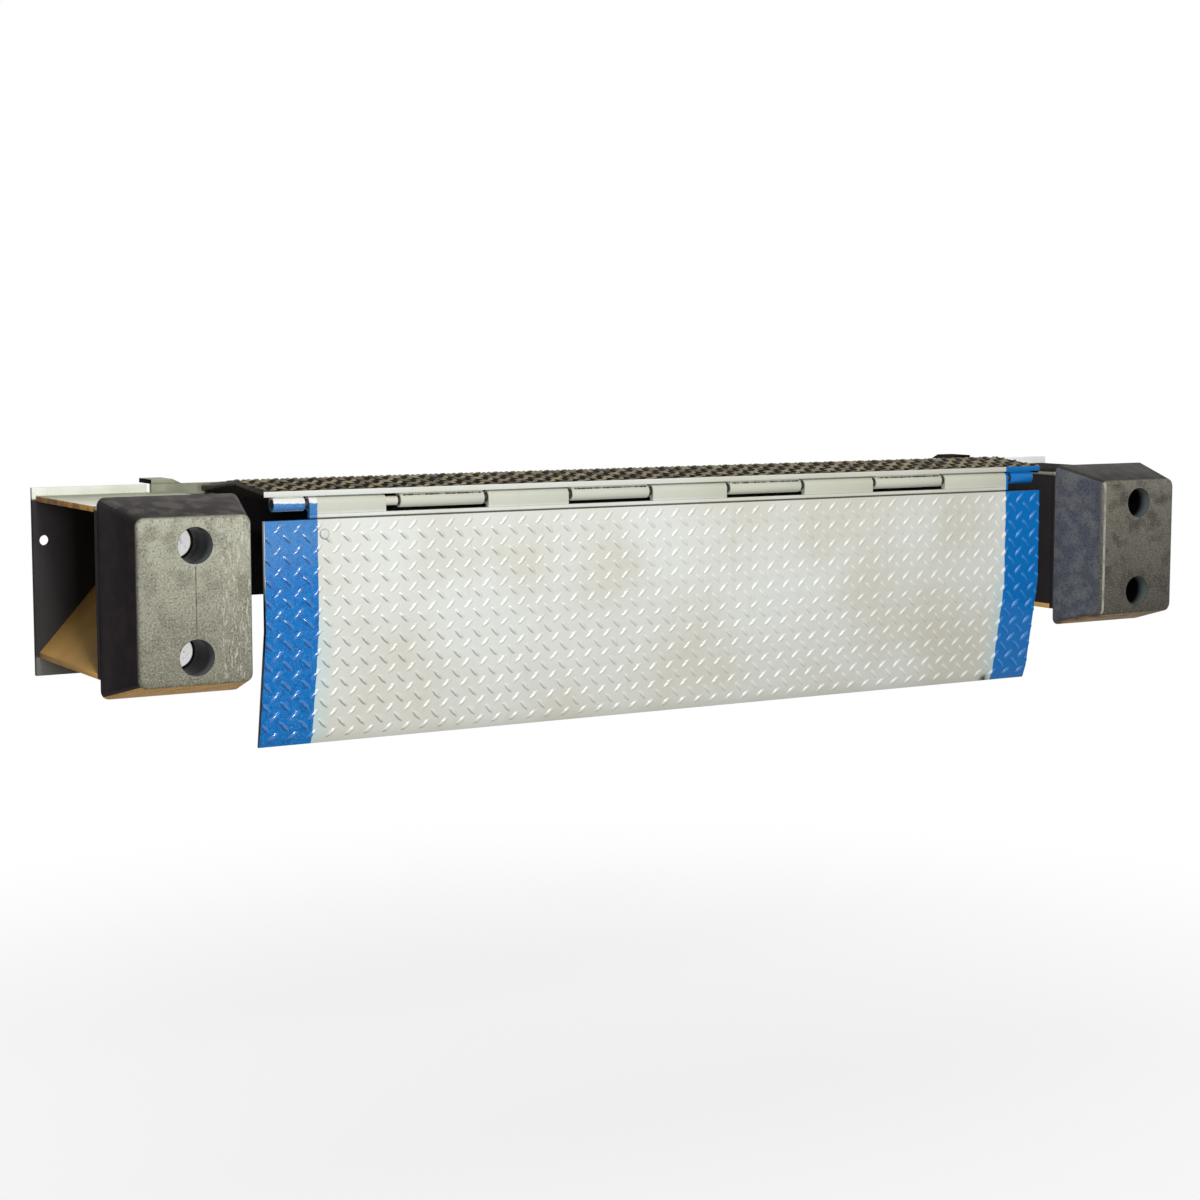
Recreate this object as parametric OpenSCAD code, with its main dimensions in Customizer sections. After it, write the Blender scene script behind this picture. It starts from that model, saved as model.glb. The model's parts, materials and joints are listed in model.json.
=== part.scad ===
// Edge-of-dock leveler: a crowned deck hinged to a curb plate on the dock wall,
// a hinged lip that hangs from the deck's front edge, and a bumper box at each side.
// Millimetres. +X to the right, +Y into the dock, +Z up.
// The origin is the centre of the curb plate's rear face, which lies on the dock wall.

/* [Deck and lip] */
// Width of the deck and of the lip
leaf_w = 1676; // [1400:1:2000]
// Distance from the dock wall to the deck's front edge
deck_reach = 321; // [300:1:360]
// Upright thickness of the deck plate
deck_t = 9.5; // [8:0.5:12]
// Height of the deck's crown above the dock floor
crown_rise = 12.5; // [6:0.5:20]
// Distance from the deck's front edge back to its crown
crown_back = 126; // [100:1:150]
// Drop of the deck's rear edge below the dock floor
deck_rear_drop = 3; // [0:0.5:4]
// Thickness of the lip plate
lip_t = 9.5; // [8:0.5:12]
// Height of the lip's straight upper part
lip_upper_h = 184; // [150:1:220]
// Length of the lip's lower part, which leans back
lip_lower_l = 204; // [170:1:240]
// Lean of the lip's lower part in degrees
lip_lean = 10; // [4:0.5:14]
// Length of the ground bevel at the lip's tip
tip_bevel_l = 26; // [15:1:40]
// Thickness left at the lip's tip
tip_t = 4.5; // [3:0.5:7]
// Height of the bar between the lip plate and its knuckles
bar_h = 9; // [7:0.5:14]
// Depth of that bar
bar_d = 12; // [11:0.5:12]
// Groove cut along the bar's lower front edge
bar_groove = 3.5; // [1:0.5:5]

/* [Hinges] */
// Outside diameter of the hinge knuckles
knuckle_d = 24; // [22:0.5:26]
// Diameter of the hinge pins
pin_d = 16; // [12:0.5:17]
// Running clearance between a pin and the knuckles that turn on it
pin_clearance = 0.05; // [0.03:0.01:0.1]
// Gap between one knuckle and the next
knuckle_gap = 8; // [2:0.5:12]
// Length of each short end knuckle with its gap
end_knuckle_l = 60; // [45:1:80]
// Inset of the hinges from the ends of the deck
hinge_inset = 18; // [14:1:30]
// Air between a lip knuckle and the deck's underside
lip_knuckle_air = 0.8; // [0.5:0.1:2]
// Air between the bar and the deck's knuckles
bar_air = 5.5; // [5:0.5:8]
// Air between the deck's rear knuckles and the curb plate
rear_air = 3; // [2:0.5:5]
// Air between the deck's rear edge and the curb plate's knuckles
rear_edge_air = 5.5; // [5:0.5:8]
// Drop of the rear hinge's axis below the dock floor
rear_axis_drop = 15.5; // [14:0.5:18]
// Reach of the deck's knuckle pads behind the hinge's axis
pad_back = 15; // [12:1:16]
// Reach of those pads in front of the axis
pad_front = 4; // [2:0.5:8]
// Length cut off the lip's first knuckle, where the pin shows
pin_window = 20; // [0:1:40]

/* [Deck underside] */
// Thickness of the side bars and of the ribs
rib_t = 9.5; // [6:0.5:12]
// Depth of the side bars below the deck's front underside
side_bar_h = 4; // [3:0.5:10]
// Depth of the ribs below the dock floor
rib_drop = 50; // [40:1:70]
// Air between the ribs and the lip's knuckles
rib_air = 24; // [6:1:40]
// Setback of the side bars and ribs from the deck's rear edge
under_rear_setback = 18; // [15:1:30]
// Number of ribs below the deck
rib_count = 5; // [3:1:7]
// Depth of the ribs at their ends
rib_end_h = 15; // [10:1:25]

/* [Curb plate and side boxes] */
// Height of the curb plate
curb_h = 204; // [180:1:240]
// Thickness of the curb plate and of the box plates
plate_t = 9.5; // [8:0.5:12]
// Space between the deck's end and the side box
side_gap = 42; // [36:1:60]
// Space between the deck's end and the end of the curb plate
curb_over = 79.5; // [65:0.5:95]
// Seam between the end of the curb plate and the box's back plate
seam_gap = 7.5; // [4:0.5:10]
// Width of the side box
box_w = 243; // [230:1:260]
// Distance from the dock wall to the face that the bumper sits on
box_reach = 319; // [300:1:340]
// Drop of the box's top plate below the dock floor
box_top_drop = 14; // [10:1:20]
// Height of the side box over its top and bottom plates
box_h = 277.5; // [260:0.5:300]
// Part of the back plate that reaches below the box
back_below = 30.5; // [20:0.5:40]
// Part of the back plate that stands out past the box
back_over = 6; // [3:1:10]
// Diameter of the anchor hole in each back plate
anchor_d = 17.5; // [14:0.5:22]
// Distance of the anchor hole from the back plate's outer edge
anchor_edge = 20; // [16:1:26]
// Drop of the anchor hole below the dock floor
anchor_drop = 90; // [60:1:120]

/* [Tabs on the dock floor] */
// Thickness of each tab
tab_t = 8; // [6:0.5:12]
// Length of each tab along the curb plate
tab_l = 40; // [30:1:60]
// Length of the slope at the tab's inner end
tab_slope = 16; // [8:1:24]
// Reach of the tab over the dock floor
tab_reach = 52; // [40:1:70]

/* [Rubber bumpers] */
// Setback of the bumper's sides from the sides of the box
bumper_setback = 1.25; // [0:0.25:5]
// Part of the bumper that reaches below the box
bumper_below = 32.5; // [20:0.5:40]
// Thickness of the bumper
bumper_t = 114; // [100:1:130]
// Taper of each side of the bumper
bumper_side_taper = 26; // [15:1:32]
// Taper of the bumper's top and bottom
bumper_end_taper = 29; // [15:1:34]
// Corner radius of the bumper
bumper_corner_r = 14; // [8:1:18]
// Depth of the rounded rim round the bumper's front
bumper_rim = 5; // [3:0.5:8]
// Distance of the bolts from the bumper's top and bottom
bolt_end = 73; // [60:1:85]
// Diameter of the wells for the bolt heads
well_d = 58; // [54:1:64]
// Rubber left below a bolt head
well_floor = 22; // [18:1:40]
// Diameter of the bumper bolts
bolt_d = 19; // [16:0.5:22]
// Play of the bolts in their holes
bolt_play = 1; // [0.5:0.1:2]
// Diameter of the washers below the bolt heads
washer_d = 52; // [44:1:53]
// Thickness of those washers
washer_t = 3; // [2:0.5:6]
// Size of the bolt heads and nuts across their corners
hex_d = 33; // [30:1:40]
// Height of a bolt head
head_h = 10; // [8:0.5:15]
// Height of a nut
nut_h = 16; // [12:0.5:20]

/* [Hidden] */
$fn = 48;

// Heights are worked out from the dock floor, which is the curb plate's top edge
floor_z = curb_h / 2;
half_w = leaf_w / 2;
knuckle_r = knuckle_d / 2;
pin_r = pin_d / 2;
bore_r = pin_r + pin_clearance;

// Deck profile
front_y = -deck_reach;
crown_y = front_y + crown_back;
rear_axis_y = -plate_t - rear_air - knuckle_r;
rear_axis_z = -rear_axis_drop;
deck_rear_y = rear_axis_y - knuckle_r - rear_edge_air;
function deck_top(y) = y < crown_y
  ? crown_rise * (y - front_y) / crown_back
  : crown_rise - (crown_rise + deck_rear_drop) * (y - crown_y) / (deck_rear_y - crown_y);
function deck_under(y) = deck_top(y) - deck_t;

// Lip hinge and lip profile
lip_axis_y = front_y + knuckle_r;
lip_axis_z = -deck_t - lip_knuckle_air - knuckle_r;
bar_top_z = lip_axis_z - knuckle_r - bar_air;
lip_top_z = bar_top_z - bar_h;
lip_bend_z = lip_top_z - lip_upper_h;
lip_back_y = front_y + lip_t;

// Knuckles along both hinges: five turn, four long ones and two short ends carry
hinge_half = half_w - hinge_inset;
knuckle_pitch = (2 * hinge_half - 2 * end_knuckle_l) / 9;
knuckle_l = knuckle_pitch - knuckle_gap;
end_solid_l = end_knuckle_l - knuckle_gap / 2;
bar_half = 4.5 * knuckle_pitch - knuckle_gap / 2;

// Side boxes, worked out for the right side and mirrored for the left
box_in_x = half_w + side_gap;
box_out_x = box_in_x + box_w;
box_mid_x = box_in_x + box_w / 2;
curb_half = half_w + curb_over;
back_in_x = curb_half + seam_gap;
back_out_x = box_out_x + back_over;
anchor_x = back_out_x - anchor_edge;
box_front_y = -box_reach;
box_plate_y = box_front_y + plate_t;
box_top_z = -box_top_drop;
box_bottom_z = box_top_z - box_h;
back_h = box_top_drop + box_h + back_below;
bumper_w = box_w - 2 * bumper_setback;
bumper_h = box_top_drop + box_h + bumper_below;
bolt_pitch = bumper_h - 2 * bolt_end;
bumper_mid_z = -bumper_h / 2;
well_floor_y = box_front_y - well_floor;

// Side bars and ribs below the deck
under_rear_y = deck_rear_y - under_rear_setback;
side_bar_front_y = front_y + 3;
side_bar_z = deck_under(front_y) - side_bar_h;
rib_front_y = lip_axis_y + knuckle_r + rib_air;
rib_pitch = 2 * hinge_half / (rib_count + 1);

steel_grey = [0.76, 0.77, 0.75];
edge_blue = [0.09, 0.42, 0.77];
rubber_black = [0.16, 0.15, 0.15];
bolt_grey = [0.62, 0.63, 0.64];

// A profile in Y and Z, drawn out along X from the dock floor's level
module along_x(from, to) {
  translate([from, 0, floor_z])
    rotate([90, 0, 90])
      linear_extrude(to - from)
        children();
}

// A profile in X and Z, drawn out along Y from the front to the back
module along_y(front, back) {
  translate([0, back, floor_z])
    rotate([90, 0, 0])
      linear_extrude(back - front)
        children();
}

// A round bar along X
module bar_x(from, to, y, z, r) {
  translate([from, y, floor_z + z])
    rotate([0, 90, 0])
      cylinder(h = to - from, r = r);
}

// A round bar along Y
module bar_y(front, back, x, z, r, sides = 48) {
  translate([x, back, floor_z + z])
    rotate([90, 0, 0])
      cylinder(h = back - front, r = r, $fn = sides);
}

module plate(x, y, z) {
  translate([x[0], y[0], floor_z + z[0]])
    cube([x[1] - x[0], y[1] - y[0], z[1] - z[0]]);
}

// The left side is the right side's mirror image
module on_side(side) {
  mirror([side < 0 ? 1 : 0, 0, 0])
    children();
}

// Curb plate, which carries everything else on the dock wall
module curb_plate() {
  color(steel_grey)
    plate([-curb_half, curb_half], [-plate_t, 0], [-curb_h, 0]);
}

// One knuckle: a bored tube with the profile of whatever joins it to its plate
module knuckle(mid, len, y, z, bore) {
  difference() {
    union() {
      bar_x(mid - len / 2, mid + len / 2, y, z, knuckle_r);
      along_x(mid - len / 2, mid + len / 2)
        children();
    }
    bar_x(mid - len, mid + len, y, z, bore);
  }
}

module rear_frame_pad() {
  translate([rear_axis_y, rear_axis_z - knuckle_r * 0.7])
    square([-plate_t - rear_axis_y, knuckle_r * 1.4]);
}

module rear_deck_neck() {
  translate([deck_rear_y, -deck_rear_drop - deck_t])
    square([rear_axis_y - deck_rear_y, deck_t]);
}

module rear_frame_knuckles() {
  color(steel_grey) {
    for (place = [-3, -1, 1, 3])
      knuckle(place * knuckle_pitch, knuckle_l, rear_axis_y, rear_axis_z, bore_r)
        rear_frame_pad();
    for (side = [-1, 1])
      knuckle(side * (hinge_half - end_solid_l / 2), end_solid_l, rear_axis_y, rear_axis_z, pin_r)
        rear_frame_pad();
  }
}

module deck_rear_knuckles() {
  color(steel_grey)
    for (place = [-4, -2, 0, 2, 4])
      knuckle(place * knuckle_pitch, knuckle_l, rear_axis_y, rear_axis_z, bore_r)
        rear_deck_neck();
}

module rear_hinge_pin() {
  color(bolt_grey)
    bar_x(-hinge_half, hinge_half, rear_axis_y, rear_axis_z, pin_r);
}

// Crowned deck plate
module deck_plate() {
  color(steel_grey)
    along_x(-half_w, half_w)
      polygon([
        [front_y, deck_top(front_y)], [front_y, deck_under(front_y)], [crown_y, deck_under(crown_y)],
        [deck_rear_y, deck_under(deck_rear_y)], [deck_rear_y, deck_top(deck_rear_y)],
        [crown_y, deck_top(crown_y)]
      ]);
}

// Side bar: closes the end of the crowned deck, level along its lower edge
module side_bar_profile() {
  polygon([
    [side_bar_front_y, deck_under(side_bar_front_y)], [side_bar_front_y, side_bar_z],
    [under_rear_y, side_bar_z], [under_rear_y, deck_under(under_rear_y)], [crown_y, deck_under(crown_y)]
  ]);
}

module deck_left_side_bar() {
  color(steel_grey)
    along_x(-half_w, -half_w + rib_t)
      side_bar_profile();
}

module deck_right_side_bar() {
  color(steel_grey)
    along_x(half_w - rib_t, half_w)
      side_bar_profile();
}

// Ribs below the deck, deepest under its crown
module rib_profile() {
  polygon([
    [rib_front_y, deck_under(rib_front_y)], [rib_front_y, deck_under(rib_front_y) - rib_end_h],
    [crown_y, -rib_drop],
    [under_rear_y, deck_under(under_rear_y) - rib_end_h], [under_rear_y, deck_under(under_rear_y)],
    [crown_y, deck_under(crown_y)]
  ]);
}

module deck_ribs() {
  color(steel_grey)
    for (i = [1 : rib_count]) {
      mid = -hinge_half + i * rib_pitch;
      along_x(mid - rib_t / 2, mid + rib_t / 2)
        rib_profile();
    }
}

// Pad between a deck knuckle and the underside of the deck
module deck_pad() {
  pad_front_y = lip_axis_y - pad_front;
  pad_back_y = lip_axis_y + pad_back;
  polygon([
    [pad_front_y, lip_axis_z], [lip_axis_y + pad_front, lip_axis_z], [pad_back_y, deck_under(pad_back_y)],
    [pad_front_y, deck_under(pad_front_y)]
  ]);
}

module deck_knuckle(place) {
  color(steel_grey)
    knuckle(place * knuckle_pitch, knuckle_l, lip_axis_y, lip_axis_z, bore_r)
      deck_pad();
}

module deck_knuckle_1() deck_knuckle(-3);
module deck_knuckle_2() deck_knuckle(-1);
module deck_knuckle_3() deck_knuckle(1);
module deck_knuckle_4() deck_knuckle(3);

// The short end knuckles hold the pin
module deck_end_knuckle(side) {
  color(edge_blue)
    knuckle(side * (hinge_half - end_solid_l / 2), end_solid_l, lip_axis_y, lip_axis_z, pin_r)
      deck_pad();
}

module deck_left_end_knuckle() deck_end_knuckle(-1);
module deck_right_end_knuckle() deck_end_knuckle(1);

module lip_hinge_pin() {
  color(bolt_grey)
    bar_x(-hinge_half, hinge_half, lip_axis_y, lip_axis_z, pin_r);
}

// Lip plate: straight above, leaning back below, with a ground tip
module lip_plate() {
  lean = [sin(lip_lean), -cos(lip_lean)];
  inward = [cos(lip_lean), sin(lip_lean)];
  bend = [front_y, lip_bend_z];
  color(steel_grey)
    along_x(-half_w, half_w)
      polygon([
        [front_y, lip_top_z], bend, bend + lean * (lip_lower_l - tip_bevel_l),
        bend + lean * lip_lower_l + inward * (lip_t - tip_t), bend + lean * lip_lower_l + inward * lip_t,
        [lip_back_y, lip_bend_z + lip_t * tan(lip_lean / 2)], [lip_back_y, lip_top_z]
      ]);
}

module lip_bar() {
  color(steel_grey)
    along_x(-bar_half, bar_half)
      polygon([
        [front_y, bar_top_z], [front_y, lip_top_z + bar_groove], [front_y + bar_groove, lip_top_z],
        [front_y + bar_d, lip_top_z], [front_y + bar_d, bar_top_z]
      ]);
}

module lip_neck() {
  translate([front_y, bar_top_z])
    square([bar_d, lip_axis_z - bar_top_z]);
}

module lip_knuckle(place, cut = 0) {
  color(steel_grey)
    knuckle(place * knuckle_pitch - cut / 2, knuckle_l - cut, lip_axis_y, lip_axis_z, bore_r)
      lip_neck();
}

module lip_knuckle_1() lip_knuckle(-4, pin_window);
module lip_knuckle_2() lip_knuckle(-2);
module lip_knuckle_3() lip_knuckle(0);
module lip_knuckle_4() lip_knuckle(2);
module lip_knuckle_5() lip_knuckle(4);

// Side box: back, top, bottom, web, diagonal stiffener and front, open on its outer side
module back_plate(side) {
  color(steel_grey)
    on_side(side)
      difference() {
        plate([back_in_x, back_out_x], [-plate_t, 0], [-back_h, 0]);
        bar_y(-2 * plate_t, plate_t, anchor_x, -anchor_drop, anchor_d / 2);
      }
}

module box_top(side) {
  color(steel_grey)
    on_side(side)
      plate([box_in_x, box_out_x], [box_plate_y, -plate_t], [box_top_z - plate_t, box_top_z]);
}

module box_bottom(side) {
  color(steel_grey)
    on_side(side)
      plate([box_in_x, box_out_x], [box_plate_y, -plate_t], [box_bottom_z, box_bottom_z + plate_t]);
}

module box_web(side) {
  color(steel_grey)
    on_side(side)
      plate([box_in_x, box_in_x + plate_t], [box_plate_y, -plate_t],
        [box_bottom_z + plate_t, box_top_z - plate_t]);
}

module box_diagonal(side) {
  rise = box_h - 2 * plate_t;
  run = box_w - plate_t;
  slant = sqrt(rise * rise + run * run);
  low = [box_out_x, box_bottom_z + plate_t];
  high = [box_in_x + plate_t, box_top_z - plate_t];
  color(steel_grey)
    on_side(side)
      along_y(box_plate_y, -plate_t)
        polygon([
          low, high, high - [0, plate_t * slant / run], low - [plate_t * slant / rise, 0]
        ]);
}

module box_front(side) {
  color(steel_grey)
    on_side(side)
      difference() {
        plate([box_in_x, box_out_x], [box_front_y, box_plate_y], [box_bottom_z, box_top_z]);
        for (end = [-1, 1])
          bar_y(box_front_y - plate_t, box_plate_y + plate_t, box_mid_x, bumper_mid_z + end * bolt_pitch / 2,
            (bolt_d + bolt_play) / 2);
      }
}

// Slab of the bumper with round corners, at a depth in front of its back
module bumper_slab(depth, side_in, end_in) {
  w = bumper_w - 2 * side_in;
  h = bumper_h - 2 * end_in;
  translate([box_mid_x, box_front_y - depth, floor_z + bumper_mid_z])
    rotate([90, 0, 0])
      linear_extrude(0.5)
        offset(r = bumper_corner_r, $fn = 32)
          square([w - 2 * bumper_corner_r, h - 2 * bumper_corner_r], center = true);
}

module bumper(side) {
  taper = 1 - bumper_rim / bumper_t;
  color(rubber_black)
    on_side(side)
      difference() {
        hull() {
          bumper_slab(0, 0, 0);
          bumper_slab(bumper_t - bumper_rim - 0.5, bumper_side_taper * taper, bumper_end_taper * taper);
          bumper_slab(bumper_t - bumper_rim * 0.3 - 0.5, bumper_side_taper + bumper_rim * 0.3,
            bumper_end_taper + bumper_rim * 0.3);
          bumper_slab(bumper_t - 0.5, bumper_side_taper + bumper_rim, bumper_end_taper + bumper_rim);
        }
        for (end = [-1, 1]) {
          bar_y(box_front_y - 2 * bumper_t, well_floor_y, box_mid_x, bumper_mid_z + end * bolt_pitch / 2,
            well_d / 2);
          bar_y(box_front_y - bumper_t, box_front_y + plate_t, box_mid_x,
            bumper_mid_z + end * bolt_pitch / 2, (bolt_d + bolt_play) / 2);
        }
      }
}

// Bumper bolt: hexagon head on its washer, shank and nut
module bumper_bolt(side, end) {
  z = bumper_mid_z + end * bolt_pitch / 2;
  head_y = well_floor_y - washer_t;
  color(bolt_grey)
    on_side(side)
      union() {
        bar_y(head_y, well_floor_y, box_mid_x, z, washer_d / 2);
        bar_y(head_y - head_h, head_y, box_mid_x, z, hex_d / 2, 6);
        bar_y(head_y, box_plate_y + nut_h + bolt_d / 4, box_mid_x, z, bolt_d / 2);
        bar_y(box_plate_y, box_plate_y + nut_h, box_mid_x, z, hex_d / 2, 6);
      }
}

// Tab on the end of the curb plate, which rests on the dock floor
module floor_tab(side) {
  color(steel_grey)
    on_side(side)
      along_y(-plate_t, tab_reach)
        polygon([
          [curb_half, 0], [curb_half, tab_t], [curb_half - tab_l, tab_t], [curb_half - tab_l - tab_slope, 0]
        ]);
}

module left_back_plate() back_plate(-1);
module left_box_top() box_top(-1);
module left_box_bottom() box_bottom(-1);
module left_box_web() box_web(-1);
module left_box_diagonal() box_diagonal(-1);
module left_box_front() box_front(-1);
module left_bumper() bumper(-1);
module left_upper_bolt() bumper_bolt(-1, 1);
module left_lower_bolt() bumper_bolt(-1, -1);
module left_floor_tab() floor_tab(-1);
module right_back_plate() back_plate(1);
module right_box_top() box_top(1);
module right_box_bottom() box_bottom(1);
module right_box_web() box_web(1);
module right_box_diagonal() box_diagonal(1);
module right_box_front() box_front(1);
module right_bumper() bumper(1);
module right_upper_bolt() bumper_bolt(1, 1);
module right_lower_bolt() bumper_bolt(1, -1);
module right_floor_tab() floor_tab(1);

curb_plate();
rear_frame_knuckles();
rear_hinge_pin();
left_back_plate();
left_box_top();
left_box_bottom();
left_box_web();
left_box_diagonal();
left_box_front();
left_bumper();
left_upper_bolt();
left_lower_bolt();
left_floor_tab();
right_back_plate();
right_box_top();
right_box_bottom();
right_box_web();
right_box_diagonal();
right_box_front();
right_bumper();
right_upper_bolt();
right_lower_bolt();
right_floor_tab();
deck_plate();
deck_left_side_bar();
deck_right_side_bar();
deck_ribs();
deck_rear_knuckles();
deck_left_end_knuckle();
deck_knuckle_1();
deck_knuckle_2();
deck_knuckle_3();
deck_knuckle_4();
deck_right_end_knuckle();
lip_hinge_pin();
lip_plate();
lip_bar();
lip_knuckle_1();
lip_knuckle_2();
lip_knuckle_3();
lip_knuckle_4();
lip_knuckle_5();
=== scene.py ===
# %% [markdown]
# An edge-of-dock leveler bridges the gap between a loading dock and a truck bed.
# A crowned deck is hinged to a curb plate on the dock wall, and a hinged lip hangs
# from the deck's front edge. A steel box with a rubber bumper stands at each side.
# The solids come ready made from the frame, in metres. This lesson adds what solids
# leave out: rounded edges, the raised tread, weld beads, paint, rubber, light, camera.

# %% Frame and sizes
import json
import math

import bmesh
import bpy
from mathutils import Matrix, Vector


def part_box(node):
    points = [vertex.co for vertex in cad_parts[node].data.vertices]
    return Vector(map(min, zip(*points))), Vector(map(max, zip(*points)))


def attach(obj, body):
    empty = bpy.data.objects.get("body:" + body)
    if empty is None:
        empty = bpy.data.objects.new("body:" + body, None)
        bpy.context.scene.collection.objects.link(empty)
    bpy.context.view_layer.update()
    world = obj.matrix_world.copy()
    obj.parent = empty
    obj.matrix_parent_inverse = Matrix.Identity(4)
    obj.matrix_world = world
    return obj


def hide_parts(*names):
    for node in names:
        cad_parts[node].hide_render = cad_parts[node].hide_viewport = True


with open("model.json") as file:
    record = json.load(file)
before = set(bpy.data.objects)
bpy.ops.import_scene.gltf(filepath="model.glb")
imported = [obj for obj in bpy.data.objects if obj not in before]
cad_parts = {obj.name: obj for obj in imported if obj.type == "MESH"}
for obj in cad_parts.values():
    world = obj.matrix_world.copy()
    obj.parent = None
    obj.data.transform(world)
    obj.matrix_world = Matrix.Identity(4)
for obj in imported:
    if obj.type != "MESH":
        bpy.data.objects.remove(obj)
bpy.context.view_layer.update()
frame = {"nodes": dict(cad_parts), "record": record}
MM = 0.001
nodes = frame["nodes"]
body_of_node = {
    node: body
    for body, members in frame["record"]["behaviour"]["bodies"].items()
    for node in members
}
slot_of_node = {part["node"]: part["material_slot"] for part in frame["record"]["subparts"]}

# %% [markdown]
# Plate sizes are read from the solids, so that the dressing always fits them.
# The lip is straight above and leans back below: its front face is the set of points
# that lie furthest forward, and the lowest of those is the bend. The deck is highest
# at its crown.

# %% Plate landmarks
def corner_points(node):
    """All vertices of a solid, at rest."""
    return [vertex.co.copy() for vertex in nodes[node].data.vertices]


TOUCH = 0.05 * MM
lip_points = corner_points("lip_plate")
lip_front_y = min(p.y for p in lip_points)
lip_face = [p.z for p in lip_points if p.y < lip_front_y + TOUCH]
lip_top_z = max(lip_face)
lip_bend_z = min(lip_face)
half_width = max(p.x for p in lip_points)
lip_tip = min(lip_points, key=lambda p: p.z)

deck_points = corner_points("deck_plate")
deck_crown = max(deck_points, key=lambda p: p.z)
deck_front = max((p for p in deck_points if p.y < lip_front_y + TOUCH), key=lambda p: p.z)
deck_rear_y = max(p.y for p in deck_points)
deck_rear = max((p for p in deck_points if p.y > deck_rear_y - TOUCH), key=lambda p: p.z)
print(f"lip {2 * half_width:.3f} m wide, bend at z {lip_bend_z:.4f}; crown at z {deck_crown.z:.4f}")

# %% [markdown]
# The camera stands to the left of the object, a little above deck height, and looks
# slightly down. A long lens keeps the sides nearly parallel. Its place and turn are set
# straight away instead of by a tracking constraint, so that nothing moves later.

# %% Camera
CAMERA_PLACE = (-2.33685, -3.90081, 0.33762)
CAMERA_DIP = 0.10738
CAMERA_TURN = -0.53956
CAMERA_LENS_MM = 70.13
SENSOR_MM = 36.0

camera_data = bpy.data.cameras.new("photo camera")
camera_data.sensor_width = SENSOR_MM
camera_data.lens = CAMERA_LENS_MM
camera = bpy.data.objects.new("photo camera", camera_data)
camera.location = CAMERA_PLACE
camera.rotation_euler = (math.pi / 2 - CAMERA_DIP, 0, CAMERA_TURN)
bpy.context.scene.collection.objects.link(camera)
bpy.context.scene.camera = camera
bpy.context.scene.view_settings.view_transform = "Standard"
print("camera at", CAMERA_PLACE, "lens", CAMERA_LENS_MM)

# %% [markdown]
# Light in a product studio comes from large soft boxes. Each lamp is given a level:
# at level 1 a white card that faces the lamp renders white. The power for that grows
# with the square of the distance, so the helper works it out. No face looks straight at
# all three lamps, so together they light it at about 1, and a colour renders about as it
# is written.

# %% Soft boxes
def soft_box(name, level, place, aim, size):
    """A square lamp of a given level, at a place, turned towards a point."""
    lamp = bpy.data.lights.new(name, "AREA")
    lamp.shape = "SQUARE"
    lamp.size = size
    reach = Vector(aim) - Vector(place)
    lamp.energy = level * math.pi ** 2 * reach.length_squared
    holder = bpy.data.objects.new(name, lamp)
    holder.location = place
    holder.rotation_euler = reach.to_track_quat("-Z", "Y").to_euler()
    bpy.context.scene.collection.objects.link(holder)
    print(f"{name}: {lamp.energy:.0f} W")


OBJECT_MIDDLE = (0.0, -0.2, -0.1)
soft_box("high front soft box", level=0.50, place=(-1.5, -5.2, 3.5), aim=OBJECT_MIDDLE, size=1.0)
soft_box("low front soft box", level=0.52, place=(-1.9, -6.4, 0.40), aim=OBJECT_MIDDLE, size=1.3)
soft_box("top soft box", level=0.36, place=(0.3, 0.1, 3.6), aim=OBJECT_MIDDLE, size=2.0)

# %% [markdown]
# The surroundings are white. Light Path tells which rays look at them: rays from the
# camera, from a mirror or through glass see plain white, and the rays that light the
# object see a dim white, which fills the shadows without washing them out. All trees of
# nodes in this lesson are built with one helper, which makes a node and feeds its inputs.

# %% Surroundings
AMBIENT_LEVEL = 0.06


def add_node(tree, kind, inputs=None, **settings):
    """A new node. Its inputs, by name or place, are linked to outputs or set to values."""
    node = tree.nodes.new(kind)
    for key, value in settings.items():
        setattr(node, key, value)
    for key, value in (inputs or {}).items():
        if isinstance(value, bpy.types.NodeSocket):
            tree.links.new(value, node.inputs[key])
        else:
            node.inputs[key].default_value = value
    return node


def larger(tree, first, second):
    """The larger of two values."""
    return add_node(tree, "ShaderNodeMath", {0: first, 1: second}, operation="MAXIMUM").outputs[0]


def looking_rays(tree):
    """One for rays that look at a surface: straight, in a mirror or through glass."""
    rays = add_node(tree, "ShaderNodeLightPath").outputs
    bent = larger(tree, rays["Is Glossy Ray"], rays["Is Transmission Ray"])
    return larger(tree, rays["Is Camera Ray"], bent)


world = bpy.data.worlds.new("white studio")
bpy.context.scene.world = world
world.use_nodes = True
background = world.node_tree.nodes["Background"]
background.inputs["Color"].default_value = (1, 1, 1, 1)
world_strength = larger(world.node_tree, looking_rays(world.node_tree), AMBIENT_LEVEL)
world.node_tree.links.new(world_strength, background.inputs["Strength"])
print("surroundings lit at", AMBIENT_LEVEL)

# %% [markdown]
# Colours are written as a screen shows them, from 0 to 255. A shader works with amounts of
# light instead, so each value is turned into one by the curve that screens use.

# %% Screen colours
def srgb(red, green, blue):
    """A colour as read from a screen, 0 to 255, turned into the shader's linear values."""
    def linear(value):
        value /= 255
        return value / 12.92 if value <= 0.04045 else ((value + 0.055) / 1.055) ** 2.4
    return (linear(red), linear(green), linear(blue), 1.0)


print("mid grey on a screen is", round(srgb(128, 128, 128)[0], 3), "of full light")

# %% [markdown]
# Every finish is a small tree of nodes on Object coordinates, so a pattern stays where
# it is on the piece. The helper below keeps the trees short: it makes a shader and
# hands out noise, masks and mixes that are already linked. A pattern's numbers are kept
# together under one name: lumps per metre, the limits of its mask, its detail and place.
# Many finishes are just two colours in patches, so these have a helper of their own.

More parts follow.
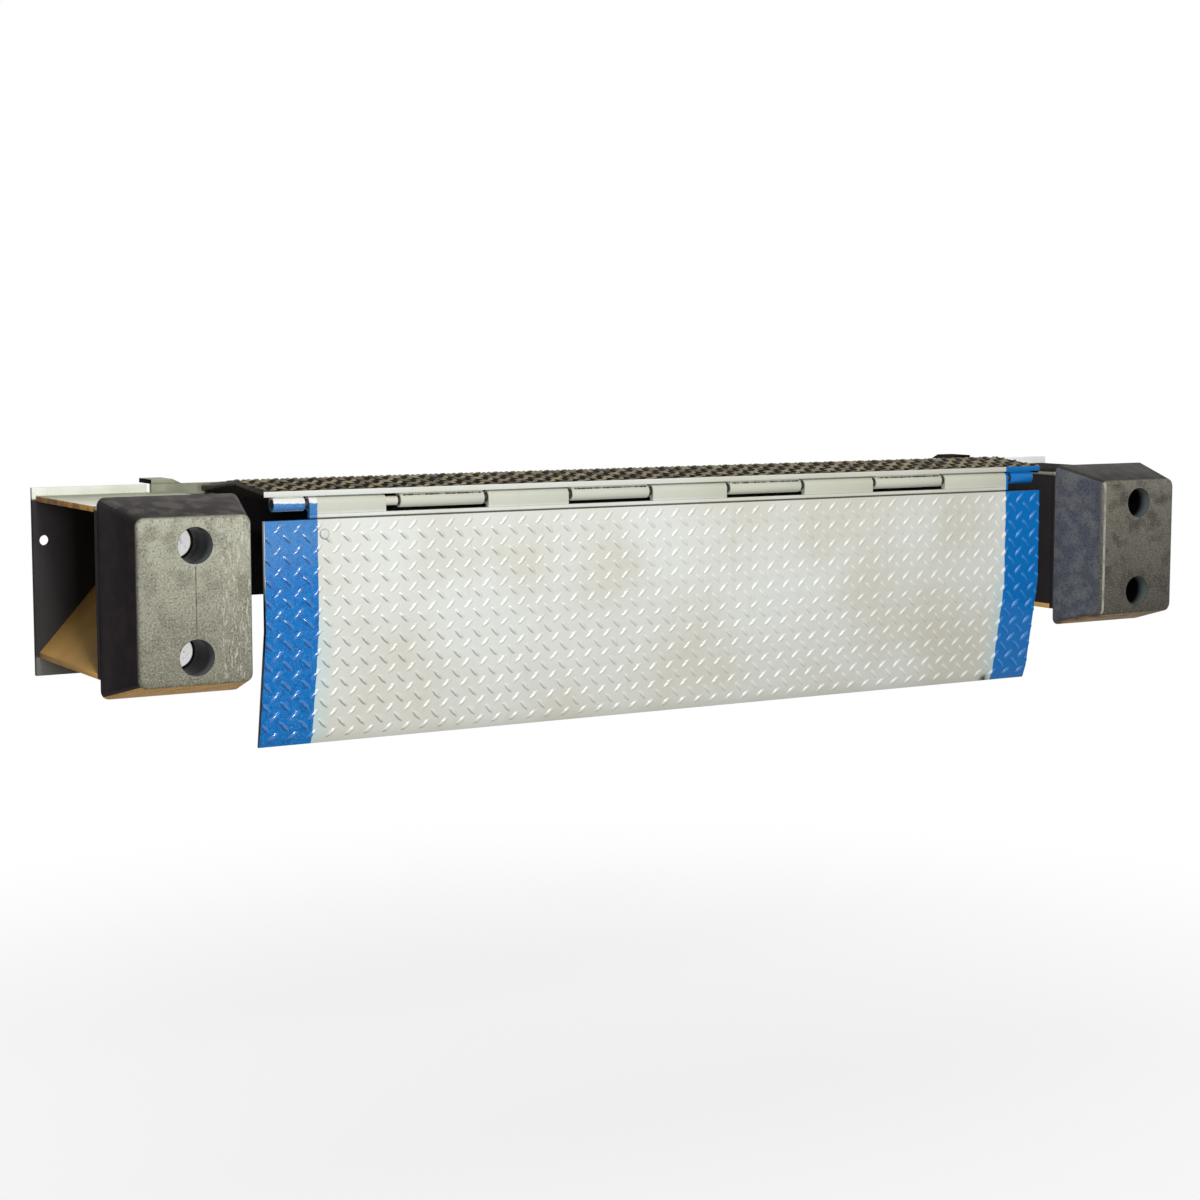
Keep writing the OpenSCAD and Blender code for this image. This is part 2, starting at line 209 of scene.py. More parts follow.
# %% Finish helper
class Finish:
    """A material with one shader and a few ready links."""

    def __init__(self, name, roughness, specular=0.5):
        self.material = bpy.data.materials.new(name)
        self.material.use_nodes = True
        self.tree = self.material.node_tree
        self.shader = self.tree.nodes["Principled BSDF"]
        self.shader.inputs["Roughness"].default_value = roughness
        self.shader.inputs["Specular IOR Level"].default_value = specular
        self.place = self.node("ShaderNodeTexCoord").outputs["Object"]

    def node(self, kind, inputs=None, **settings):
        return add_node(self.tree, kind, inputs, **settings)

    def math(self, operation, first, second=0.0):
        return self.node("ShaderNodeMath", {0: first, 1: second}, operation=operation).outputs[0]

    def times(self, first, second):
        return self.math("MULTIPLY", first, second)

    def plus(self, first, second):
        return self.math("ADD", first, second)

    def rest(self, value):
        """What is left of one."""
        return self.math("SUBTRACT", 1.0, value)

    def axis(self, letter):
        return self.node("ShaderNodeSeparateXYZ", {0: self.place}).outputs[letter]

    def distance(self, point):
        """How far a place on the surface is from a point."""
        made = self.node("ShaderNodeVectorMath", {0: self.place, 1: point}, operation="DISTANCE")
        return made.outputs["Value"]

    def noise(self, scale, detail=2.0, stretch=(1, 1, 1), offset=(0, 0, 0)):
        """Noise from 0 to 1 with a number of lumps per metre."""
        spread = self.node(
            "ShaderNodeMapping", {"Vector": self.place, "Scale": stretch, "Location": offset})
        made = self.node(
            "ShaderNodeTexNoise", {"Vector": spread.outputs[0], "Scale": scale, "Detail": detail})
        return made.outputs["Fac"]

    def rise(self, value, low, high, way="SMOOTHSTEP"):
        """Goes from 0 at low to 1 at high."""
        made = self.node(
            "ShaderNodeMapRange", {"Value": value, "From Min": low, "From Max": high},
            interpolation_type=way)
        return made.outputs["Result"]

    def within(self, value, low, high, soft):
        """One between low and high, fading to zero over a soft margin outside."""
        above = self.rise(value, low - soft, low)
        return self.times(above, self.rest(self.rise(value, high, high + soft)))

    def patches(self, low, high, **noise):
        """Noise turned into a mask of patches."""
        return self.rise(self.noise(**noise), low, high)

    def mix(self, share, first, second):
        made = self.node("ShaderNodeMix", {"Factor": share, 6: first, 7: second}, data_type="RGBA")
        return made.outputs[2]

    def feed(self, socket, output):
        self.tree.links.new(output, self.shader.inputs[socket])

    def bump(self, height, depth, strength):
        made = self.node("ShaderNodeBump", {"Distance": depth, "Strength": strength, "Height": height})
        self.feed("Normal", made.outputs[0])

    def grain(self, depth, strength, **noise):
        """A fine unevenness of the surface."""
        self.bump(self.noise(**noise), depth, strength)


def two_tone(name, first, second, patches, roughness, specular=0.5, grain=None):
    """A material of two colours in patches, with an optional grain."""
    finish = Finish(name, roughness, specular)
    finish.feed("Base Color", finish.mix(finish.patches(**patches), first, second))
    if grain:
        finish.grain(**grain)
    return finish.material


print("finish helper ready")

# %% [markdown]
# A loading dock stands about 1.2 m above the yard, so the pale floor lies that far below
# the deck. Under the object it is a real matt surface that keeps the soft shadow. Further
# out it fades into plain white, so that no horizon line shows behind the object. The light
# that it throws back up is warm, like that of a yard in the sun.

# %% Floor
DOCK_HEIGHT = 1.22
FLOOR_HALF = 40.0
FLOOR_CORNERS = ((-1, -1), (1, -1), (1, 1), (-1, 1))
SHADOW_REACH = (0.8, 3.0)
SHADOW_LEAST_WHITE = 0.80
FLOOR_PALE = (0.55, 0.55, 0.54, 1)
FLOOR_WARM = (0.34, 0.32, 0.29, 1)

floor_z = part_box("curb_plate")[1].z - DOCK_HEIGHT
floor_mesh = bpy.data.meshes.new("floor")
floor_mesh.from_pydata(
    [(x * FLOOR_HALF, y * FLOOR_HALF, floor_z) for x, y in FLOOR_CORNERS], [], [(0, 1, 2, 3)])
floor = bpy.data.objects.new("floor", floor_mesh)
bpy.context.scene.collection.objects.link(floor)

pale_floor = Finish("pale floor", roughness=1.0, specular=0.0)
seen = looking_rays(pale_floor.tree)
pale_floor.feed("Base Color", pale_floor.mix(seen, FLOOR_WARM, FLOOR_PALE))
far_out = pale_floor.rise(pale_floor.distance((0, 0, 0)), *SHADOW_REACH)
whiteness = pale_floor.plus(pale_floor.times(far_out, 1 - SHADOW_LEAST_WHITE), SHADOW_LEAST_WHITE)
plain_white = pale_floor.node("ShaderNodeEmission", {"Strength": 1.0})
blend = pale_floor.node("ShaderNodeMixShader", {
    0: pale_floor.times(whiteness, seen), 1: pale_floor.shader.outputs[0], 2: plain_white.outputs[0]})
floor_surface = pale_floor.tree.nodes["Material Output"].inputs["Surface"]
pale_floor.tree.links.new(blend.outputs[0], floor_surface)
floor_mesh.materials.append(pale_floor.material)
print(f"floor at z {floor_z:.3f}")

# %% [markdown]
# The ends of the lip and of its hinge are painted blue. On the left the blue is blotchy
# and flecked, it turns paler higher up with a painted highlight, and it has rubbed through
# to silver on top of the end knuckle. Each of these is a mask that mixes one more colour
# in. The end knuckles are blue all over.

# %% Blue paint
BLUE = srgb(12, 110, 184)
BLUE_DEEP = srgb(2, 80, 152)
BLUE_SPECK_AND_HIGHLIGHT = srgb(136, 172, 200)
WORN_SILVER = srgb(226, 228, 222)
BLOTCHES = dict(scale=110.0, low=0.46, high=0.66, detail=3.0, offset=(0, 0, 2))
BLOTCH_SHARE = 0.5
SPECKS = dict(scale=420.0, low=0.50, high=0.72, detail=3.0)
SPECK_SHARE = 0.3
# Painted highlight: the blue on the left turns paler towards the top.
UPPER_HIGHLIGHT_HEIGHT = (-60 * MM, 40 * MM)
UPPER_HIGHLIGHT_SHARE = 0.18
hinge_low, hinge_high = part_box("lip_hinge_pin")
hinge_axis_y = (hinge_low.y + hinge_high.y) / 2
hinge_axis_z = (hinge_low.z + hinge_high.z) / 2
RUBBED_HEIGHT = (hinge_axis_z + 5 * MM, hinge_axis_z + 7 * MM)
RUBBED_WOBBLE = 8 * MM
RUBBED_RAGGED = dict(scale=45.0, detail=4.0, offset=(0, 3, 0))


def worn_blue(finish):
    """Blue paint, paler higher up with a painted highlight, rubbed through to silver high on the left.
    """
    height = finish.axis("Z")
    on_left = finish.math("LESS_THAN", finish.axis("X"), 0.0)
    deep = finish.times(finish.patches(**BLOTCHES), on_left)
    speckled = finish.times(finish.patches(**SPECKS), on_left)
    glare = finish.times(finish.rise(height, *UPPER_HIGHLIGHT_HEIGHT), on_left)
    dull = finish.plus(finish.times(glare, UPPER_HIGHLIGHT_SHARE), finish.times(speckled, SPECK_SHARE))
    blue = finish.mix(finish.times(deep, BLOTCH_SHARE), BLUE, BLUE_DEEP)
    blue = finish.mix(dull, blue, BLUE_SPECK_AND_HIGHLIGHT)
    ragged = finish.times(finish.noise(**RUBBED_RAGGED), RUBBED_WOBBLE)
    rubbed = finish.rise(finish.plus(height, ragged), *RUBBED_HEIGHT)
    return finish.mix(finish.times(rubbed, on_left), blue, WORN_SILVER)


knuckle_blue = Finish("blue paint", roughness=0.3, specular=0.3)
knuckle_blue.feed("Base Color", worn_blue(knuckle_blue))
blue_paint = knuckle_blue.material
print("blue paint:", blue_paint.name)

# %% [markdown]
# The lip and its hinge wear silver paint, with a blue band at each end. Faint mottling and
# a few upright streaks keep the silver from looking like plastic, and on the hinge it has
# yellowed. A band is a mask on the distance from the middle, roughened a little as a
# masked edge is. Low down, a mist of blue overspray lies beside it.

# %% Silver paint and blue bands
SILVER = srgb(213, 216, 211)
SILVER_DULL = srgb(200, 199, 187)
MOTTLE = dict(scale=4.0, low=0.3, high=0.72, detail=3.0)
STREAKS = dict(scale=5.0, low=0.56, high=0.75, detail=3.0, stretch=(9, 9, 1), offset=(3, 0, 0))
STREAK_SHARE = 0.35
HINGE_TONE = srgb(192, 195, 178)
HINGE_TONE_SHARE = 0.7
HINGE_TONE_HEIGHT = (hinge_low.z - 8 * MM, hinge_low.z - 4 * MM)
BAND_START = half_width - 91 * MM
BAND_SHIFT = 4 * MM
BAND_EDGE = 1.2 * MM
BAND_WOBBLE = 3.0 * MM
BAND_RAGGED = dict(scale=55.0, detail=3.0)
OVERSPRAY = srgb(176, 212, 220)
OVERSPRAY_SHARE = 0.45
OVERSPRAY_REACH = 40 * MM
OVERSPRAY_HEIGHT = (-170 * MM, -40 * MM)


def mottled_silver(finish, yellowed):
    """Silver paint with dull patches and streaks, and yellowed on the hinge if asked."""
    silver = finish.mix(finish.patches(**MOTTLE), SILVER, SILVER_DULL)
    streaks = finish.times(finish.patches(**STREAKS), STREAK_SHARE)
    silver = finish.mix(streaks, silver, SILVER_DULL)
    if not yellowed:
        return silver
    on_hinge = finish.rise(finish.axis("Z"), *HINGE_TONE_HEIGHT)
    return finish.mix(finish.times(on_hinge, HINGE_TONE_SHARE), silver, HINGE_TONE)


def end_reach(finish, both_ends):
    """How far a place lies from the middle, towards either end or only to the right."""
    shifted = finish.math("SUBTRACT", finish.axis("X"), BAND_SHIFT)
    return finish.math("ABSOLUTE", shifted) if both_ends else shifted


def blue_band(finish, reach):
    """One on a band and zero beside it."""
    wobble = finish.times(finish.noise(**BAND_RAGGED), BAND_WOBBLE)
    return finish.rise(finish.plus(reach, wobble), BAND_START, BAND_START + BAND_EDGE)


def misted(finish, reach):
    """The share of overspray at a place."""
    beside = finish.rise(reach, BAND_START - OVERSPRAY_REACH, BAND_START)
    low_down = finish.rest(finish.rise(finish.axis("Z"), *OVERSPRAY_HEIGHT))
    return finish.times(finish.times(beside, low_down), OVERSPRAY_SHARE)


print(f"blue bands start {BAND_START:.3f} m from the middle")

# %% [markdown]
# Wear on the silver is more masks: a dark rub mark low on the right, painted shade in a
# ring around a plug, dirt in the groove below the hinge bar, and a ragged left edge with
# painted shade below and pale worn silver with a painted highlight above.

# %% Wear and painted shade on the silver paint
RUB_PLACE = (732 * MM, lip_tip.y, lip_tip.z + 4 * MM)
RUB_RADIUS = 17 * MM
RUB_DARK = srgb(26, 22, 20)
RUB_PATCHES = dict(scale=110.0, low=0.40, high=0.50, detail=4.0)
PLUG_PLACE = (-730 * MM, lip_front_y, 28.5 * MM)
PLUG_RADIUS = 8.5 * MM
# Painted shade: a ring around the plug's rim.
PLUG_RIM_SHADE = srgb(112, 132, 156)
PLUG_RIM_SHADE_SHARE = 0.4
PLUG_RIM_SHADE_SPAN = (PLUG_RADIUS - 1.0 * MM, PLUG_RADIUS + 0.6 * MM)
PLUG_RIM_SHADE_SOFT = 0.8 * MM
GROOVE_DIRT = srgb(74, 62, 44)
GROOVE_SHARE = 0.85
GROOVE_HEIGHT = (lip_top_z + 0.3 * MM, lip_top_z + 3.0 * MM)
GROOVE_SOFT = 0.3 * MM
LEFT_END_SHADE = srgb(36, 28, 20)
LEFT_END_SHADE_HEIGHT = (-90 * MM, -30 * MM)
CHIPS = dict(scale=60.0, detail=4.0, offset=(0, 0, 7))
CHIP_DEPTH = 1.8 * MM
CHIP_EDGE = 0.6 * MM


def rubbed_dirty_and_shaded(finish, paint):
    """Paint with the rub mark, painted shade around the plug's rim, and the dirt in the groove."""
    near = finish.rest(finish.rise(finish.distance(RUB_PLACE), 0.0, RUB_RADIUS))
    paint = finish.mix(finish.times(near, finish.patches(**RUB_PATCHES)), paint, RUB_DARK)
    rim_shade = finish.within(finish.distance(PLUG_PLACE), *PLUG_RIM_SHADE_SPAN, PLUG_RIM_SHADE_SOFT)
    paint = finish.mix(finish.times(rim_shade, PLUG_RIM_SHADE_SHARE), paint, PLUG_RIM_SHADE)
    groove = finish.within(finish.axis("Z"), *GROOVE_HEIGHT, GROOVE_SOFT)
    return finish.mix(finish.times(groove, GROOVE_SHARE), paint, GROOVE_DIRT)


def ragged_left_end(finish, paint, all_shaded):
    """Paint along its left end, ragged, with painted shade below and pale worn silver with a painted
    highlight above, or painted shade all over.
    """
    # Painted shade on the left end, which looks away from the light.
    shade_and_wear = LEFT_END_SHADE
    if not all_shaded:
        above = finish.rise(finish.axis("Z"), *LEFT_END_SHADE_HEIGHT)
        shade_and_wear = finish.mix(above, LEFT_END_SHADE, WORN_SILVER)
    chips = finish.times(finish.noise(**CHIPS), CHIP_DEPTH)
    left_end = finish.math("SUBTRACT", chips, finish.axis("X"))
    gone = finish.rise(left_end, half_width, half_width + CHIP_EDGE)
    return finish.mix(gone, paint, shade_and_wear)


print("rub mark at", tuple(round(v, 3) for v in RUB_PLACE))

# %% [markdown]
# Five finishes come out of these parts. The raised tread of the lip is shinier than the
# plate, because its tops are polished by wheels, and grows duller towards the right. Its
# lower flanks are the same paint darkened by painted shade, most of it on the left.

# %% Silver finishes
PAINT_GRAIN = dict(scale=240.0, depth=0.12 * MM, strength=0.5)
DULL_ENDS = (0 * MM, 750 * MM)
DULL_ROUGHNESS = 0.16
FLANK_SHADE = srgb(58, 62, 66)
FLANK_SHADE_ENDS = (-780 * MM, 200 * MM)


def silver_paint(name, ends="both", shine=0.1, roughness=0.27, band_roughness=None, flank_shade=0.0):
    """Silver paint with blue at both ends, at the right end only, or nowhere."""
    finish = Finish(name, roughness, shine)
    paint = mottled_silver(finish, yellowed=ends == "both")
    if ends != "none":
        reach = end_reach(finish, both_ends=ends == "both")
        band = blue_band(finish, reach)
        paint = finish.mix(misted(finish, reach), paint, OVERSPRAY)
        paint = finish.mix(band, paint, worn_blue(finish))
        if band_roughness is not None:
            gloss = finish.times(band, band_roughness - roughness)
            dull = finish.times(finish.rise(finish.axis("X"), *DULL_ENDS), DULL_ROUGHNESS)
            finish.feed("Roughness", finish.plus(finish.plus(gloss, dull), roughness))
    # Painted shade on the tread flanks that look down to the left.
    if flank_shade > 0.0:
        to_left = finish.rest(finish.rise(finish.axis("X"), *FLANK_SHADE_ENDS))
        paint = finish.mix(finish.times(to_left, flank_shade), paint, FLANK_SHADE)
    paint = rubbed_dirty_and_shaded(finish, paint)
    finish.feed("Base Color", ragged_left_end(finish, paint, all_shaded=ends == "right"))
    finish.grain(**PAINT_GRAIN)
    return finish.material


lip_silver = silver_paint("silver paint with blue ends")
deck_edge_silver = silver_paint("silver deck edge", ends="right")
plain_silver = silver_paint("plain silver paint", ends="none")
tread_silver = silver_paint("shiny silver tread", shine=0.75, roughness=0.26, band_roughness=0.2)
shaded_flank_silver = silver_paint("silver tread flanks with painted shade", flank_shade=0.4)
print("silver paint:", lip_silver.name, "and", deck_edge_silver.name)

# %% [markdown]
# The deck has been walked on. Its plate is dark brown between the lozenges, deepened with
# painted shade, and the lozenges are scuffed pale and lightened with a painted highlight.
# The same dark finish serves as painted shade under the deck and at its ends. The plate and
# the lozenges are separate pieces, so each simply gets a finish of its own.

# %% Worn deck
DECK_DARK_WITH_SHADE = srgb(9, 6, 3)
DECK_BROWN = srgb(28, 22, 14)
DECK_PATCHES = dict(scale=14.0, low=0.38, high=0.68, detail=5.0)
DECK_GRAIN = dict(scale=320.0, depth=0.2 * MM, strength=0.6, detail=3.0)
PALE_SCUFF_AND_GLINT = srgb(130, 120, 90)
WORN_BROWN = srgb(56, 47, 30)
WORN_PATCHES = dict(scale=26.0, low=0.36, high=0.64, detail=4.0)
WORN_GRAIN = dict(scale=420.0, depth=0.2 * MM, strength=0.6, detail=3.0)

deck_brown_and_shade = two_tone("dark deck plate with painted shade", DECK_DARK_WITH_SHADE, DECK_BROWN, DECK_PATCHES,
                       roughness=0.85, specular=0.05, grain=DECK_GRAIN)
lozenge_scuff_and_glint = two_tone("scuffed deck lozenges with painted highlight", PALE_SCUFF_AND_GLINT, WORN_BROWN, WORN_PATCHES,
                        roughness=0.5, specular=0.25, grain=WORN_GRAIN)
print("deck finishes:", deck_brown_and_shade.name, "and", lozenge_scuff_and_glint.name)

# %% [markdown]
# The fixed frame is plain grey steel. It dulls in broad patches and shows faint dirt,
# so two sizes of noise mix three greys. The back plates take paler copies, which are
# painted light. Between the plates of the boxes, where shade falls, the steel carries black
# painted shade, and the height of a point decides how much of it there is. The painted
# shade is also dull, and the faces that lie against the dock wall have none.

# %% Grey steel
GREY_TONES = (srgb(160, 162, 142), srgb(128, 130, 110))
# The paler and white tones are painted light, falling on the back plates.
LIT_PALE_TONES = (srgb(236, 238, 228), srgb(214, 217, 202))
GLARE_TONES = (srgb(255, 255, 255), srgb(252, 252, 250))
STEEL_DIRT = srgb(128, 124, 104)
# Painted shade: black for the steel between the plates of the boxes.
STEEL_PAINTED_SHADE = srgb(30, 24, 30)
STEEL_ROUGHNESS = 0.48
STEEL_SHINE = 0.15
STEEL_PATCHES = dict(scale=9.0, low=0.35, high=0.68, detail=4.0)
STEEL_SPOTS = dict(scale=30.0, low=0.6, high=0.8, detail=5.0, offset=(5, 2, 0))
SPOT_SHARE = 0.5
STEEL_GRAIN = dict(scale=260.0, depth=0.1 * MM, strength=0.5)
SHADE_SOFT = 5 * MM
SHADE_SHARE = 0.84
SHADE_MORE_INSIDE = 0.13
SHADE_ROUGHNESS = 0.45
OFF_WALL = (-0.4 * MM, -1.2 * MM)
shade_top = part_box("left_box_top")[1].z - 8 * MM
shade_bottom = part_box("left_box_bottom")[0].z + 4 * MM


def frame_steel(name, tones):
    """Steel in two tones with dirty spots, black with painted shade inside the boxes."""
    steel = Finish(name, STEEL_ROUGHNESS, STEEL_SHINE)
    spots = steel.times(steel.patches(**STEEL_SPOTS), SPOT_SHARE)
    clean = steel.mix(spots, steel.mix(steel.patches(**STEEL_PATCHES), *tones), STEEL_DIRT)
    height = steel.axis("Z")
    # Painted shade between the box plates, kept off the faces on the wall.
    below_top = steel.rest(steel.rise(height, shade_top, shade_top + SHADE_SOFT))
    inside = steel.rise(height, shade_bottom - SHADE_SOFT, shade_bottom)
    thickness = steel.plus(SHADE_SHARE, steel.times(inside, SHADE_MORE_INSIDE))
    off_wall = steel.rise(steel.axis("Y"), *OFF_WALL)
    painted_shade = steel.times(steel.times(below_top, off_wall), thickness)
    steel.feed("Base Color", steel.mix(painted_shade, clean, STEEL_PAINTED_SHADE))
    steel.feed("Roughness", steel.plus(STEEL_ROUGHNESS, steel.times(painted_shade, SHADE_ROUGHNESS)))
    steel.grain(**STEEL_GRAIN)
    return steel.material


grey_steel = frame_steel("grey steel", GREY_TONES)
lit_steel = frame_steel("steel with painted light", LIT_PALE_TONES)
glaring_steel = frame_steel("steel with painted glare", GLARE_TONES)
print("steel:", [steel.name for steel in (grey_steel, lit_steel, glaring_steel)])

# %% [markdown]
# The diagonals and bottom plates of the boxes carry painted warm bounce light, brown, that
# fades upwards into painted shade. The left box top has a painted glare towards the truck
# and is olive at the wall, so its colour follows the distance from the wall, made uneven
# by noise. The outer ends of both tops carry painted warm bounce light too.

# %% Painted bounce light and glare on steel
# Painted warm bounce light, as thrown up from the floor.
BOUNCE_BROWN = srgb(242, 192, 110)
BOUNCE_DARK = srgb(218, 171, 97)
BOUNCE_PATCHES = dict(scale=7.0, low=0.35, high=0.7)
BOUNCE_FADE_HEIGHT = (shade_bottom + 90 * MM, shade_top - 40 * MM)
TOP_OLIVE = srgb(140, 145, 116)
TOP_GLARE = srgb(246, 243, 230)
TOP_UNEVEN = 160 * MM
TOP_RAGGED = dict(scale=16.0, detail=5.0)
END_BOUNCE_PALE = srgb(226, 172, 92)
END_BOUNCE_DARK = srgb(150, 106, 50)
END_BOUNCE_PATCHES = dict(scale=40.0, low=0.4, high=0.65, detail=3.0)
DRY_ROUGHNESS = 0.6

bounce_light = Finish("brown steel with painted bounce light", DRY_ROUGHNESS, STEEL_SHINE)
bounce_fade = bounce_light.rise(bounce_light.axis("Z"), *BOUNCE_FADE_HEIGHT)
brown = bounce_light.mix(bounce_light.patches(**BOUNCE_PATCHES), BOUNCE_BROWN, BOUNCE_DARK)
bounce_light.feed("Base Color", bounce_light.mix(bounce_fade, brown, STEEL_PAINTED_SHADE))
bounce_light.grain(**STEEL_GRAIN)
bounce_lit_steel = bounce_light.material

top_low, top_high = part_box("left_box_top")
# Painted glare: the left box top turns near white towards the truck.
top_glare = Finish("box top with painted glare", STEEL_ROUGHNESS, STEEL_SHINE)
from_wall = top_glare.plus(top_glare.axis("Y"), top_glare.times(top_glare.noise(**TOP_RAGGED), TOP_UNEVEN))
to_truck = top_glare.rise(from_wall, top_high.y + TOP_UNEVEN / 2, top_low.y + TOP_UNEVEN / 2)
top_glare.feed("Base Color", top_glare.mix(to_truck, TOP_OLIVE, TOP_GLARE))
top_glare.grain(**STEEL_GRAIN)
glare_lit_top = top_glare.material

# Painted warm bounce light on the outer ends of the box tops.
bounce_lit_end = two_tone("plate end with painted bounce light", END_BOUNCE_PALE, END_BOUNCE_DARK, END_BOUNCE_PATCHES,
                       roughness=DRY_ROUGHNESS, specular=STEEL_SHINE)
print("more steel:", [steel.name for steel in (bounce_lit_steel, glare_lit_top, bounce_lit_end)])

# %% [markdown]
# The bolts are bright zinc, near white, which is partly a painted sheen. The hinge pins carry
# painted shade, dark like the gaps between the knuckles, but the stretch of the lip's pin
# that shows beside its first knuckle has been painted over with the rest.

# %% Zinc and pin steel
# The near-white zinc is partly painted sheen.
ZINC_SHEEN_WHITE = srgb(252, 252, 252)
ZINC_DULL = srgb(206, 206, 208)
ZINC_PATCHES = dict(scale=160.0, low=0.56, high=0.72, detail=3.0)
# Painted shade: the pins are dark where they show in the gaps between knuckles.
PIN_GAP_SHADE = srgb(36, 33, 30)
PIN_SHADE = 4.5 * MM
PIN_SOFT = 0.5 * MM

zinc = two_tone("bright zinc with painted sheen", ZINC_SHEEN_WHITE, ZINC_DULL, ZINC_PATCHES, roughness=0.3)
shaded = Finish("pin steel with painted shade", roughness=0.4)
window_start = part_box("lip_knuckle_1")[1].x
window_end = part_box("deck_knuckle_1")[0].x - PIN_SHADE
painted = shaded.within(shaded.axis("X"), window_start, window_end, PIN_SOFT)
shaded.feed("Base Color", shaded.mix(painted, PIN_GAP_SHADE, SILVER_DULL))
shaded_pin_steel = shaded.material
print("small finishes:", zinc.name, "and", shaded_pin_steel.name)

# %% [markdown]
# The bumpers are moulded rubber. Their fronts have rubbed against trucks and are scuffed
# to a dusty grey, and a painted sheen lies over it: the left front is lighter than the
# right, and each is lighter above than below. The front colour is a mask on the distance
# from the front face. Fine noise gives the grain and also drives a bump, so that the grain
# catches the light. Pale scratches gather on one part of a front, and a painted highlight
# may follow one upright edge.

# %% Moulded rubber
RUBBER_BLACK = srgb(24, 20, 22)
RUBBER_ROUGHNESS = 0.5
RUBBER_SHINE = 0.08
RUBBER_GRAIN = dict(scale=330.0)
GRAIN_DEPTH = 0.6 * MM
GRAIN_STRENGTH = 0.7
RUBBER_PATCHES = dict(scale=34.0, detail=5.0, offset=(1, 4, 2))
DULL_PATCHES = (0.44, 0.66)
WORN_SIDE_PATCHES = (0.40, 0.66)
PALE_GRAINS = (0.52, 0.68)
PALE_GRAIN_SHARE = 0.28
DARK_GRAINS = (0.47, 0.32)
DARK_GRAIN_SHARE = 0.45
DARK_SIDE_GRAINS = (0.48, 0.36)
DARK_SIDE_GRAIN_SHARE = 0.5
SCRATCHES = dict(scale=110.0, low=0.55, high=0.66, detail=9.0, stretch=(3.0, 1, 0.7), offset=(2, 0, 1))
SCRATCH_SHARE = 0.5
SCRATCH_SOFT = 30 * MM
# A painted highlight along one upright edge of a front.
EDGE_HIGHLIGHT_HALF = 1.5 * MM
EDGE_HIGHLIGHT_SOFT = 1.6 * MM
EDGE_HIGHLIGHT_INSET = 30.5 * MM
EDGE_HIGHLIGHT_PATCHES = (0.3, 0.6)
EDGE_HIGHLIGHT_LEAST = 0.45
EDGE_HIGHLIGHT_SHARE = 0.75
bumper_low, bumper_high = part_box("left_bumper")
FRONT_HEIGHT = (bumper_low.z, bumper_high.z - 40 * MM)
SCUFF_REACH = (bumper_low.y + 0.5 * MM, bumper_low.y + 10 * MM)


def front_dust_and_sheen(rubber, front, grain, patch, scratched_x):
    """The dusty grey of a front under its painted sheen, with its patches, grain and scratches."""
    upper = rubber.rise(rubber.axis("Z"), *FRONT_HEIGHT, way="LINEAR")
    dust_and_sheen = rubber.mix(upper, front["lower"], front["upper"])
    dull = rubber.times(rubber.rise(patch, *DULL_PATCHES), front["patchy"])
    dust_and_sheen = rubber.mix(dull, dust_and_sheen, front["lower"])
    pale = rubber.times(rubber.rise(grain, *PALE_GRAINS), PALE_GRAIN_SHARE)
    dust_and_sheen = rubber.mix(pale, dust_and_sheen, front["scratch"])
    dark = rubber.times(rubber.rise(grain, *DARK_GRAINS), DARK_GRAIN_SHARE)
    dust_and_sheen = rubber.mix(dark, dust_and_sheen, RUBBER_BLACK)
    if scratched_x is not None:
        where = rubber.rise(rubber.axis("X"), scratched_x, scratched_x + SCRATCH_SOFT)
        marks = rubber.times(rubber.patches(**SCRATCHES), where)
        dust_and_sheen = rubber.mix(rubber.times(marks, SCRATCH_SHARE), dust_and_sheen, front["scratch"])
    return dust_and_sheen


def rubber_dust_and_light(name, front, sides, scratched_x=None, highlight_x=None):
    """Rubber with a dusty front under painted sheen, sides in two tones, and a painted highlight along
    one edge if asked.
    """
    rubber = Finish(name, RUBBER_ROUGHNESS, RUBBER_SHINE)
    grain = rubber.noise(**RUBBER_GRAIN)
    patch = rubber.noise(**RUBBER_PATCHES)
    side = rubber.mix(rubber.rise(patch, *WORN_SIDE_PATCHES), *sides)
    dark = rubber.times(rubber.rise(grain, *DARK_SIDE_GRAINS), DARK_SIDE_GRAIN_SHARE)
    side = rubber.mix(dark, side, RUBBER_BLACK)
    behind = rubber.rise(rubber.axis("Y"), *SCUFF_REACH)
    colour = rubber.mix(behind, front_dust_and_sheen(rubber, front, grain, patch, scratched_x), side)
    # Painted highlight along one upright edge of the front.
    if highlight_x is not None:
        edge_highlight = rubber.within(rubber.axis("X"), highlight_x - EDGE_HIGHLIGHT_HALF, highlight_x + EDGE_HIGHLIGHT_HALF, EDGE_HIGHLIGHT_SOFT)
        edge_highlight = rubber.times(edge_highlight, rubber.plus(EDGE_HIGHLIGHT_LEAST, rubber.rise(patch, *EDGE_HIGHLIGHT_PATCHES)))
        colour = rubber.mix(rubber.times(edge_highlight, EDGE_HIGHLIGHT_SHARE), colour, front["scratch"])
    rubber.feed("Base Color", colour)
    rubber.bump(grain, GRAIN_DEPTH, GRAIN_STRENGTH)
    return rubber.material


print("rubber is scuffed for", round((SCUFF_REACH[1] - bumper_low.y) / MM), "mm behind the front")

# %% [markdown]
# Each bumper has three finishes, lit and shaded copies of one rubber: its sides, its top
# and its underside, whose warm colour is painted bounce light. The fronts are the same on
# all three. The walls of the wells are shiny, with a painted sheen at the mouth that turns
# to painted shade deeper in, and their rims are darker.

